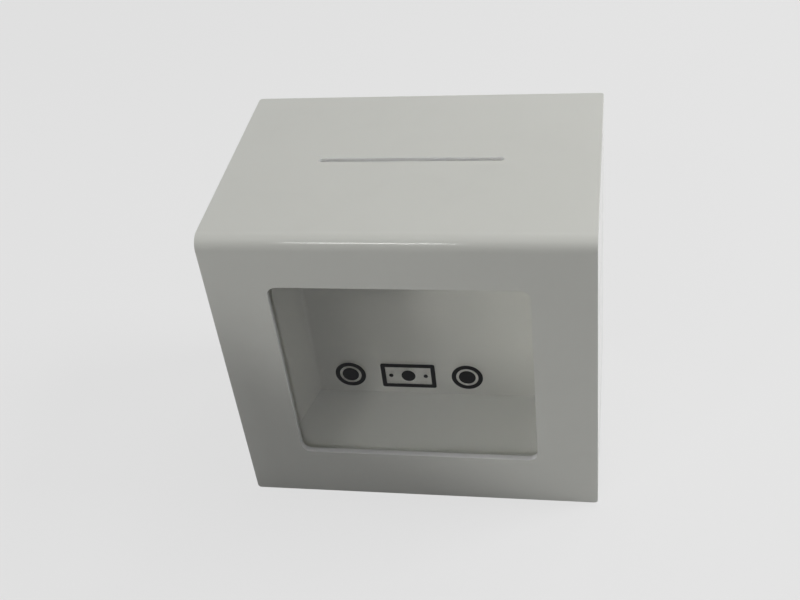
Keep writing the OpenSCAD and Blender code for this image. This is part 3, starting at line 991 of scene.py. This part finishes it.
def plain_sheet(node, normal):
    """The upper or rear face of a rectangular sheet, on the side of its box that normal looks
    out of, and the sheet's thickness."""
    size = span(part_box(node))
    up = normal.cross(X)
    thickness = normal.dot(size)
    bm = bmesh.new()
    place = centre(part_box(node)) + thickness / 2 * normal
    plate_face(bm, facing(place, X, up), size.x, abs(up.dot(size)))
    face_towards(bm, normal)
    return bm, thickness


class DONATION_BOX_OT_base(bpy.types.Operator):
    """Make the base, the door stops and the block that the cam locks behind"""

    bl_idname = "donation_box.base"
    bl_label = "Base and Strips"

    def execute(self, context):
        rounding = context.scene.donation_box.sheets.edge_rounding
        for node, name, normal in (
            ("base_panel", "base_sheet", Z),
            ("door_stop_lower", "lower_stop_strip", Y),
            ("door_stop_upper", "upper_stop_strip", Y),
            ("lock_keeper", "keeper_block", Y),
        ):
            bm, thickness = plain_sheet(node, normal)
            make_piece(
                name, bm, node, "white_acrylic", rounding=rounding, thickness=thickness
            )
        return {"FINISHED"}


def hinge_axis(hinge):
    return centre(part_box(f"hinge_{hinge}_pin"))


def screw_places(hardware, word, side, hinges=HINGES):
    """Where the screws of the frame leaves or the door leaves stand."""
    places = []
    for hinge in hinges:
        low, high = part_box(f"hinge_{hinge}_{word}_leaf")
        x = hinge_axis(hinge).x + side * (hardware.leaf_width + hardware.leaf_clearance) / 2
        for z in (low.z + hardware.screw_inset, high.z - hardware.screw_inset):
            places.append(Vector((x, high.y, z)))
    return places


def screw_holes(bm, hardware, y, places):
    """Faces of the screw holes of hinge leaves, each its ring too large."""
    radius = hardware.screw_radius + HOLE_GAP + SLIM_RING
    return [
        disc_face(bm, facing_rear(place.x, y, place.z), radius, HOLE_STEPS) for place in places
    ]


class DONATION_BOX_OT_rear_panel(bpy.types.Operator):
    """Make the rear panel with the opening for the door"""

    bl_idname = "donation_box.rear_panel"
    bl_label = "Rear Panel"

    def execute(self, context):
        sheets = context.scene.donation_box.sheets
        hardware = context.scene.donation_box.hardware
        size, middle = span(REAR), centre(REAR)
        bm = bmesh.new()
        face = plate_face(bm, facing_rear(middle.x, REAR_FACE, middle.z), size.x, size.z)
        grown = sheets.door_gap + RING
        opening = plate_face(
            bm, facing_rear(DOOR_MID.x, REAR_FACE, DOOR_MID.z), DOOR_SIZE.x + 2 * grown,
            DOOR_SIZE.z + 2 * grown, sheets.door_radius + grown
        )
        holes = screw_holes(bm, hardware, REAR_FACE, screw_places(hardware, "frame", -1))
        pierce(bm, face, ([opening], RING), (holes, SLIM_RING))
        face_towards(bm, Y)
        make_piece(
            "rear_sheet", bm, "rear_panel", "white_acrylic", rounding=sheets.edge_rounding,
            thickness=size.y
        )
        return {"FINISHED"}


class DONATION_BOX_OT_window(bpy.types.Operator):
    """Make the clear pane behind the window"""

    bl_idname = "donation_box.window"
    bl_label = "Window Pane"

    def execute(self, context):
        sheets = context.scene.donation_box.sheets
        size, middle = span(PANE), centre(PANE)
        bm = bmesh.new()
        at = facing_front(middle.x, PANE[0].y, middle.z)
        plate_face(bm, at, size.x, size.z, sheets.window_radius)
        face_towards(bm, -Y)
        make_piece(
            "clear_window_sheet", bm, "window_pane", "clear_acrylic",
            rounding=sheets.edge_rounding, thickness=size.y
        )
        return {"FINISHED"}


class DONATION_BOX_OT_label(bpy.types.Operator):
    """Make the black film pictures of a coin, a banknote and a coin"""

    bl_idname = "donation_box.label"
    bl_label = "Window Label"

    def execute(self, context):
        label = context.scene.donation_box.label
        low, high = LABEL
        size, middle = high - low, (low + high) / 2
        radius = size.z / 2
        line = label.line_width
        bm = bmesh.new()

        def at(x):
            return facing_front(x, low.y, middle.z)

        for x in (low.x + radius, high.x - radius):
            coin = disc_face(bm, at(x), radius, steps=96)
            bmesh.ops.inset_individual(bm, faces=[coin], thickness=line, use_even_offset=True)
            bmesh.ops.delete(bm, geom=[coin], context="FACES_ONLY")
            disc_face(bm, at(x), radius - COIN_FIELD * line, steps=64)
        note = plate_face(bm, at(middle.x), label.note_width, size.z, line / 2)
        inside = 2 * (line - SLIM_RING)
        field = plate_face(bm, at(middle.x), label.note_width - inside, size.z - inside)
        pierce(bm, note, ([field], SLIM_RING))
        disc_face(bm, at(middle.x), radius - NOTE_FIELD * line, steps=64)
        for side in (-1, 1):
            dot_x = middle.x + side * (label.note_width / 2 - DOT_INSET * line)
            disc_face(bm, at(dot_x), line / 2, steps=32)
        bmesh.ops.recalc_face_normals(bm, faces=bm.faces)
        # The pictures lie apart, so each is turned to the front by itself
        turned = [face for face in bm.faces if face.normal.y > 0]
        bmesh.ops.reverse_faces(bm, faces=turned)
        make_piece(
            "film_pictures", bm, "window_label", "black_vinyl", rounding=label.film_edge,
            thickness=size.y, segments=2
        )
        return {"FINISHED"}


class DONATION_BOX_OT_liner(bpy.types.Operator):
    """Make the chamber's liner: a low back wall and two higher side walls, splayed to the front"""

    bl_idname = "donation_box.liner"
    bl_label = "Chamber Liner"

    def execute(self, context):
        sheets = context.scene.donation_box.sheets
        low, high = LINER
        thickness = sheets.liner_thickness
        half = sheets.liner_back_width / 2
        back_y = high.y - thickness
        side_run = Vector((half - high.x, low.y - back_y, 0))
        turn = math.atan2(-side_run.y, -side_run.x)
        radius = sheets.liner_bend_radius - thickness
        bend_x = radius * math.tan(turn / 2) - half
        along = side_run.normalized()
        rise = high.z - low.z - sheets.liner_back_height
        bm = bmesh.new()
        edge = start_edge(bm, (0, back_y, low.z), (0, back_y, low.z + sheets.liner_back_height))
        edge = pull(bm, edge, bend_x * X)
        edge = swing(bm, edge, (bend_x, back_y - radius, 0), Z, turn, steps=10)
        # The side wall is level as far as the bend's centre, and then rises at 45 degrees
        edge = pull(bm, edge, radius / math.tan(turn) * along)
        edge = pull(bm, edge, rise / math.sin(turn) * along)
        upper_end = max(edge.verts, key=lambda vert: vert.co.z)
        bmesh.ops.translate(bm, verts=[upper_end], vec=rise * Z)
        pull(bm, edge, OVERRUN * side_run)
        bmesh.ops.mirror(bm, geom=whole(bm), axis="X", merge_dist=SAME_PLACE)
        face_towards(bm, Y)
        bmesh.ops.solidify(bm, geom=bm.faces[:], thickness=-thickness)
        for place, outward in ((low, -X), (high, X), (low, -Y)):
            trim(bm, place, outward)
        make_piece(
            "bent_liner", bm, "chamber_liner", "liner_acrylic", rounding=sheets.edge_rounding
        )
        return {"FINISHED"}


class DONATION_BOX_OT_baffle(bpy.types.Operator):
    """Make the bent baffle under the slot"""

    bl_idname = "donation_box.baffle"
    bl_label = "Slot Baffle"

    def execute(self, context):
        sheets = context.scene.donation_box.sheets
        low, high = BAFFLE
        lean = sheets.baffle_lean
        radius = sheets.baffle_bend_radius
        turn = FULL_TURN / 4 - lean
        tangent = radius * math.tan(turn / 2)
        bend_place = (0, high.y - sheets.baffle_flange + tangent, high.z - radius)
        drop = high.z - low.z - sheets.baffle_thickness * math.sin(lean)
        plate = drop / math.cos(lean) - tangent
        bm = bmesh.new()
        edge = start_edge(bm, (low.x, high.y, high.z), (high.x, high.y, high.z))
        edge = pull(bm, edge, (tangent - sheets.baffle_flange) * Y)
        edge = swing(bm, edge, bend_place, X, turn, steps=8)
        pull(bm, edge, -plate * Vector((0, math.sin(lean), math.cos(lean))))
        face_towards(bm, -Y)
        make_piece(
            "bent_baffle", bm, "slot_baffle", "liner_acrylic",
            rounding=sheets.edge_rounding, thickness=sheets.baffle_thickness
        )
        return {"FINISHED"}


# ---- The rear door ----


class DONATION_BOX_OT_door(bpy.types.Operator):
    """Make the rear door, with its holes for the lock and the hinge screws"""

    bl_idname = "donation_box.door"
    bl_label = "Rear Door"

    def execute(self, context):
        sheets = context.scene.donation_box.sheets
        hardware = context.scene.donation_box.hardware
        face_y = DOOR[1].y
        bm = bmesh.new()
        plate = plate_face(
            bm, facing_rear(DOOR_MID.x, face_y, DOOR_MID.z), DOOR_SIZE.x, DOOR_SIZE.z,
            sheets.door_radius
        )
        grown = HOLE_GAP + SLIM_RING
        hole_at = facing_rear(LOCK_AXIS.x, face_y, LOCK_AXIS.z)
        lock_hole = disc_face(bm, hole_at, hardware.barrel_radius + grown, steps=64)
        reach = hardware.barrel_flats / 2 + grown
        # The hole is flat where the barrel is
        for side in (-1, 1):
            cut = bmesh.ops.bisect_plane(
                bm, geom=[lock_hole, *lock_hole.edges, *lock_hole.verts], clear_outer=True,
                plane_co=(LOCK_AXIS.x + side * reach, 0, 0), plane_no=side * X
            )["geom"]
            lock_hole = next(item for item in cut if isinstance(item, bmesh.types.BMFace))
        holes = screw_holes(bm, hardware, face_y, screw_places(hardware, "door", 1))
        pierce(bm, plate, ([lock_hole, *holes], SLIM_RING))
        face_towards(bm, Y)
        make_piece(
            "door_sheet", bm, "rear_door", "white_acrylic", rounding=sheets.edge_rounding,
            thickness=DOOR_SIZE.y
        )
        return {"FINISHED"}


# ---- The hinges ----

# Share of a screw head's radius past which an edge is its rim, and how far the rim of a pan head
# is rounded, as a share of its height
HEAD_RIM = 0.9
PAN_ROUNDING = 0.6


def hinge_leaf(hinge, word, side, hardware):
    """Half of a hinge: a plate whose knuckles are rolled from the same strip round the pin. The
    frame leaf's two knuckles take a quarter of its height at each end, and the door leaf's lies
    between them."""
    low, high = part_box(f"hinge_{hinge}_frame_leaf")
    axis = hinge_axis(hinge)
    tall = high.z - low.z
    inset = tall / 4 + (hardware.knuckle_gap if side > 0 else 0)
    inner_x = axis.x + side * hardware.leaf_clearance
    outer_x = axis.x + side * hardware.leaf_width
    at = facing_rear((inner_x + outer_x) / 2, REAR_FACE, axis.z)
    bm = bmesh.new()

    def stands_at(x, vert):
        return abs(vert.co.x - x) < SAME_PLACE

    def inner_edges():
        return [
            edge for edge in plate.edges if all(stands_at(inner_x, vert) for vert in edge.verts)
        ]

    plate = plate_face(bm, at, abs(outer_x - inner_x), tall)
    corners = [vert for vert in plate.verts if stands_at(outer_x, vert)]
    round_corners(bm, corners, hardware.leaf_corner)
    plate = bm.faces[:][0]
    for z in (low.z + inset, high.z - inset):
        cut = inner_edges()
        ends = {vert for edge in cut for vert in edge.verts}
        bmesh.ops.bisect_plane(bm, geom=[*cut, *ends], plane_co=(0, 0, z), plane_no=Z)
    strips = sorted(inner_edges(), key=lambda edge: sum(vert.co.z for vert in edge.verts))
    places = screw_places(hardware, word, side, [hinge])
    pierce(bm, plate, (screw_holes(bm, hardware, REAR_FACE, places), SLIM_RING))
    rise = axis.y - hardware.knuckle_radius - REAR_FACE
    for strip in strips[1:2] if side > 0 else strips[::2]:
        strip = pull(bm, strip, -side * hardware.leaf_clearance * X + rise * Y)
        swing(bm, strip, axis, Z, -side * hardware.knuckle_wrap, steps=28)
    face_towards(bm, -Y)
    return bm


def hinge_pin(hinge, hardware):
    """Pin with a flat head at each end."""
    low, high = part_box(f"hinge_{hinge}_pin")
    axis = hinge_axis(hinge)
    head, pin, cap = (high.x - low.x) / 2, hardware.pin_radius, hardware.pin_head_height
    tall = high.z - low.z
    bm = bmesh.new()
    lathe(
        bm, Matrix.Translation((axis.x, axis.y, low.z)),
        [(0, 0), (head, 0), (head, cap), (pin, cap), (pin, tall - cap), (head, tall - cap),
         (head, tall), (0, tall)],
        steps=48
    )
    return bm


class DONATION_BOX_OT_hinges(bpy.types.Operator):
    """Make the leaves and the pins of the two butt hinges"""

    bl_idname = "donation_box.hinges"
    bl_label = "Hinges"

    def execute(self, context):
        hardware = context.scene.donation_box.hardware
        edge = hardware.steel_edge
        for hinge in HINGES:
            for word, side in LEAVES:
                name = f"{hinge}_{word}_leaf"
                make_piece(
                    name, hinge_leaf(hinge, word, side, hardware), f"hinge_{name}",
                    "hinge_steel", rounding=edge, thickness=hardware.leaf_thickness
                )
            name = f"{hinge}_pin"
            make_piece(
                name, hinge_pin(hinge, hardware), f"hinge_{name}", "zinc_steel",
                rounding=2 * edge
            )
        return {"FINISHED"}


class DONATION_BOX_OT_screws(bpy.types.Operator):
    """Make the pan-head screws of the hinge leaves, and their nuts"""

    bl_idname = "donation_box.screws"
    bl_label = "Screws and Nuts"

    def execute(self, context):
        hardware = context.scene.donation_box.hardware
        edge = hardware.steel_edge
        for word, side in LEAVES:
            screws, nuts = f"{word}_leaf_screws", f"{word}_leaf_nuts"
            bm = merged_copy(screws)
            rounded_rims(
                bm, screw_places(hardware, word, side), HEAD_RIM * hardware.head_radius,
                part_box(screws)[1].y, PAN_ROUNDING * hardware.head_height
            )
            make_piece(
                f"{word}_screws", bm, screws, "zinc_steel", rounding=0.3 * edge, segments=2
            )
            make_piece(
                f"{word}_nuts", merged_copy(nuts), nuts, "zinc_steel", rounding=edge, segments=2
            )
        return {"FINISHED"}


# ---- The lock ----

# One turn of the thread, as shares of its pitch and of its depth
THREAD_TURN = ((0, 0), (0.4, 1), (0.5, 1), (0.9, 0))
# In pitches: where the first turn starts, how much of the barrel has no whole turn, and the
# smooth length behind the flange
THREAD_START = 0.25
THREADLESS = 2
THREAD_END = 1.4
# Share of the plug head's radius past which an edge is its rim, and how far the rim of the cam
# screw's head is rounded, as a share of its radius
PLUG_RIM = 0.97
CAM_SCREW_ROUNDING = 0.2


def lock_at(y):
    """Matrix that stands a lathe's profile on the lock's axis at depth y, rising to the rear."""
    return facing((LOCK_AXIS.x, y, LOCK_AXIS.z), X, -Z)


def lock_barrel(hardware):
    """Threaded barrel with two flats, and the round flange on the door's outer face."""
    low, high = BARREL
    at = lock_at(low.y)
    bore = hardware.plug_radius + RUNNING_GAP
    seat = hardware.plug_head_radius + RUNNING_GAP
    outer = hardware.barrel_radius
    root = outer - hardware.thread_depth
    pitch = hardware.thread_pitch
    flange_y = REAR_FACE - low.y
    end_y = high.y - low.y
    seat_y = end_y - hardware.plug_head_height - RUNNING_GAP
    profile = [(bore, 0), (root, 0)]
    for turn in range(int((flange_y - THREADLESS * pitch) / pitch)):
        start = (turn + THREAD_START) * pitch
        profile += [
            (root + out * hardware.thread_depth, start + along * pitch)
            for along, out in THREAD_TURN
        ]
    profile += [
        (outer, flange_y - THREAD_END * pitch), (outer, flange_y), (bore, flange_y), (bore, 0)
    ]
    bm = bmesh.new()
    lathe(bm, at, profile, steps=96)
    for side in (-1, 1):
        trim(bm, LOCK_AXIS + side * hardware.barrel_flats / 2 * X, side * X)
    flange = (high.x - low.x) / 2
    lathe(
        bm, at,
        [(bore, flange_y), (flange, flange_y), (flange, end_y), (seat, end_y), (seat, seat_y),
         (bore, seat_y), (bore, flange_y)],
        steps=96
    )
    return bm


def lock_washer(hardware):
    low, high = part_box("lock_washer")
    inner, outer, tall = hardware.barrel_radius, (high.x - low.x) / 2, high.y - low.y
    bm = bmesh.new()
    lathe(
        bm, lock_at(low.y),
        [(inner, 0), (outer, 0), (outer, tall), (inner, tall), (inner, 0)], steps=72
    )
    return bm


def lock_plug(hardware):
    bm = merged_copy("lock_plug")
    inner_radius = PLUG_RIM * hardware.plug_head_radius
    rounded_rims(bm, [LOCK_AXIS], inner_radius, PLUG[1].y, 2 * hardware.steel_edge)
    return bm


def cam_screw():
    bm = merged_copy("cam_screw")
    low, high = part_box("cam_screw")
    head = (high.x - low.x) / 2
    rounded_rims(bm, [LOCK_AXIS], HEAD_RIM * head, low.y, CAM_SCREW_ROUNDING * head)
    return bm


class DONATION_BOX_OT_lock(bpy.types.Operator):
    """Make the cam lock: barrel, washer, nut, plug, cam and cam screw"""

    bl_idname = "donation_box.lock"
    bl_label = "Cam Lock"

    def execute(self, context):
        hardware = context.scene.donation_box.hardware
        edge = hardware.steel_edge
        # Name, mesh, node, slot, rounding in steel edges, and steps across a rounded edge
        for name, bm, node, slot, rounding, steps in (
            ("threaded_barrel", lock_barrel(hardware), "lock_barrel", "lock_chrome", 1, 3),
            ("ring_washer", lock_washer(hardware), "lock_washer", "zinc_steel", 0.8, 3),
            ("hexagon_nut", merged_copy("lock_nut"), "lock_nut", "zinc_steel", 2, 3),
            ("turning_plug", lock_plug(hardware), "lock_plug", "lock_chrome", 0.6, 2),
            ("flat_cam", merged_copy("lock_cam"), "lock_cam", "zinc_steel", 1.4, 3),
            ("cross_cam_screw", cam_screw(), "cam_screw", "zinc_steel", 0.5, 2),
        ):
            make_piece(name, bm, node, slot, rounding=rounding * edge, segments=steps)
        return {"FINISHED"}


class DONATION_BOX_OT_key(bpy.types.Operator):
    """Make the key"""

    bl_idname = "donation_box.key"
    bl_label = "Key"

    def execute(self, context):
        edge = context.scene.donation_box.hardware.steel_edge
        make_piece("flat_key", merged_copy("key"), "key", "key_metal", rounding=1.6 * edge)
        return {"FINISHED"}


# ---- The stage ----

# Light that falls on the open floor, as a share of the light that shows a colour as written
FLOOR_LIGHT = 0.6
# From the near to the far distance the floor goes over into the backdrop
NEAR_FLOOR = 0.8
FAR_FLOOR = 1.9
# Half the floor's width, and how far it lies under the box
FLOOR_REACH = 30
FLOOR_DROP = 0.0004

# Name, place, target, size and power of each lamp
LAMPS = (
    ("ceiling_panel", (0, 0.2, 2.4), (0, 0.2, 0), (4, 4), 17.2),
    ("high_right_lamp", (1.6, 0.3, 1.8), (0, 0, 0.15), (0.8, 0.8), 26),
    ("right_lamp", (1.5, -0.6, 1.2), (0, 0, 0.15), (0.8, 0.8), 2.2),
    ("low_left_lamp", (-1.2, -1.6, 0.5), (0, 0, 0.15), (0.35, 0.35), 7.6),
    ("left_lamp", (-2.2, 0.15, 0.4), (0, 0, 0.15), (0.8, 0.8), 10),
    ("back_lamp", (1.3, 2.2, 0.8), (0, 0, 0.15), (1, 1), 16),
    ("bend_lamp", (-0.44, -1.61, 1.58), (0, -0.05, 0.25), (0.42, 0.12), 2.9),
)

# A dark card out of view keeps the low lamp off the lower left of the front
CARD_CORNERS = ((-0.392, -0.404, 0.27), (-0.04, -0.404, 0), (-0.392, -0.404, 0))
CARD_COLOUR = (0.02, 0.02, 0.02, 1)

# Roughness of the floor and the card
DULL = 0.9
WHITE = (1, 1, 1, 1)

# Width of the camera's sensor in millimetres, and how far the camera sees
SENSOR_WIDTH = 36
FARTHEST_VIEW = 100


def seen_directly(tree):
    """1 for rays that look at a surface straight, in a mirror or through glass, and 0 for rays
    that come from a dull surface."""
    path = tree.nodes.new("ShaderNodeLightPath").outputs
    seen = math_node(
        tree, "MAXIMUM", path["Is Camera Ray"], path["Is Glossy Ray"], path["Is Transmission Ray"]
    )
    not_scattered = math_node(tree, "LESS_THAN", path["Diffuse Depth"], 0.5)
    return math_node(tree, "MULTIPLY", seen, not_scattered)


def make_floor(stage):
    """Pale floor that takes the shadow and shows as bright as the backdrop."""
    bm = bmesh.new()
    bmesh.ops.create_grid(
        bm, x_segments=1, y_segments=1, size=FLOOR_REACH,
        matrix=Matrix.Translation(-FLOOR_DROP * Z)
    )
    floor = mesh_object("floor", bm)
    material, tree, shader, coords = new_material(
        "pale_floor", Roughness=DULL, Specular_IOR_Level=0.0, Emission_Color=WHITE
    )
    seen = seen_directly(tree)
    distance = add_node(
        tree, "ShaderNodeVectorMath", {"operation": "LENGTH"}, {"Vector": coords}
    ).outputs["Value"]
    shown = remap(tree, distance, NEAR_FLOOR, FAR_FLOOR, stage.shadow_tone, 0)
    tone = remap(tree, seen, 0, 1, stage.floor_tone, shown)
    grey = add_node(
        tree, "ShaderNodeCombineColor", None, {"Red": tone, "Green": tone, "Blue": tone}
    ).outputs[0]
    feed(tree, shader.inputs["Base Color"], grey)
    lit = math_node(tree, "MULTIPLY", shown, FLOOR_LIGHT)
    glow = math_node(tree, "SUBTRACT", stage.backdrop, lit)
    strength = math_node(tree, "MULTIPLY", seen, glow)
    feed(tree, shader.inputs["Emission Strength"], strength)
    floor.data.materials.append(material)


def make_surroundings(scene, stage):
    """Backdrop that shows bright and lights the box only faintly."""
    world = scene.world or bpy.data.worlds.new("surroundings")
    scene.world = world
    world.use_nodes = True
    tree = world.node_tree
    shown = math_node(tree, "MULTIPLY", seen_directly(tree), stage.backdrop - stage.ambient)
    background = tree.nodes["Background"]
    background.inputs["Color"].default_value = WHITE
    strength = math_node(tree, "ADD", shown, stage.ambient)
    feed(tree, background.inputs["Strength"], strength)


def area_lamp(name, place, target, size, power):
    lamp = bpy.data.lights.new(name, "AREA")
    lamp.shape = "RECTANGLE"
    lamp.size, lamp.size_y = size
    lamp.energy = power
    holder = bpy.data.objects.new(name, lamp)
    bpy.context.scene.collection.objects.link(holder)
    holder.location = place
    holder.rotation_euler = (Vector(target) - Vector(place)).to_track_quat("-Z", "Y").to_euler()


def make_shade_card():
    """Dark card that shades the box from the low lamp, and that no ray but the light sees."""
    bm = bmesh.new()
    bm.faces.new([bm.verts.new(corner) for corner in CARD_CORNERS])
    card = mesh_object("shade_card", bm)
    card.visible_camera = card.visible_glossy = card.visible_transmission = False
    material = new_material("dark_card", Base_Color=CARD_COLOUR, Roughness=DULL)[0]
    card.data.materials.append(material)


def make_camera(scene, stage):
    camera = bpy.data.objects.new("camera", bpy.data.cameras.new("camera"))
    scene.collection.objects.link(camera)
    scene.camera = camera
    camera.data.lens = stage.lens
    camera.data.sensor_width = SENSOR_WIDTH
    camera.data.clip_end = FARTHEST_VIEW
    turned = (
        Matrix.Rotation(stage.camera_azimuth, 4, "Z")
        @ Matrix.Rotation(FULL_TURN / 4 - stage.camera_elevation, 4, "X")
        @ Matrix.Rotation(stage.camera_roll, 4, "Z")
    )
    camera.matrix_world = Matrix.Translation(stage.camera_place) @ turned


class DONATION_BOX_OT_stage(bpy.types.Operator):
    """Make the floor, the light and the camera"""

    bl_idname = "donation_box.stage"
    bl_label = "Stage"

    def execute(self, context):
        scene = context.scene
        stage = scene.donation_box.stage
        make_floor(stage)
        make_surroundings(scene, stage)
        for lamp in LAMPS:
            area_lamp(*lamp)
        make_shade_card()
        make_camera(scene, stage)
        scene.view_settings.view_transform = "Standard"
        return {"FINISHED"}


# ---- Add-on ----

SETTINGS = (
    SheetSettings, LabelSettings, HardwareSettings, FinishSettings, StageSettings,
    DonationBoxSettings
)
OPERATORS = (
    DONATION_BOX_OT_shell,
    DONATION_BOX_OT_side_panels,
    DONATION_BOX_OT_base,
    DONATION_BOX_OT_rear_panel,
    DONATION_BOX_OT_window,
    DONATION_BOX_OT_label,
    DONATION_BOX_OT_liner,
    DONATION_BOX_OT_baffle,
    DONATION_BOX_OT_door,
    DONATION_BOX_OT_hinges,
    DONATION_BOX_OT_screws,
    DONATION_BOX_OT_lock,
    DONATION_BOX_OT_key,
    DONATION_BOX_OT_stage,
)


class DONATION_BOX_PT_pieces(bpy.types.Panel):
    """Lists the pieces of the donation box"""

    bl_label = "Donation Box"
    bl_space_type = "VIEW_3D"
    bl_region_type = "UI"
    bl_category = "Donation Box"

    def draw(self, context):
        for operator in OPERATORS:
            self.layout.operator(operator.bl_idname)


def register():
    for item in (*SETTINGS, *OPERATORS, DONATION_BOX_PT_pieces):
        bpy.utils.register_class(item)
    bpy.types.Scene.donation_box = PointerProperty(type=DonationBoxSettings)


def unregister():
    del bpy.types.Scene.donation_box
    for item in reversed((*SETTINGS, *OPERATORS, DONATION_BOX_PT_pieces)):
        bpy.utils.unregister_class(item)


def main():
    register()
    for operator in OPERATORS:
        group, name = operator.bl_idname.split(".")
        getattr(getattr(bpy.ops, group), name)()


if __name__ == "__main__":
    main()
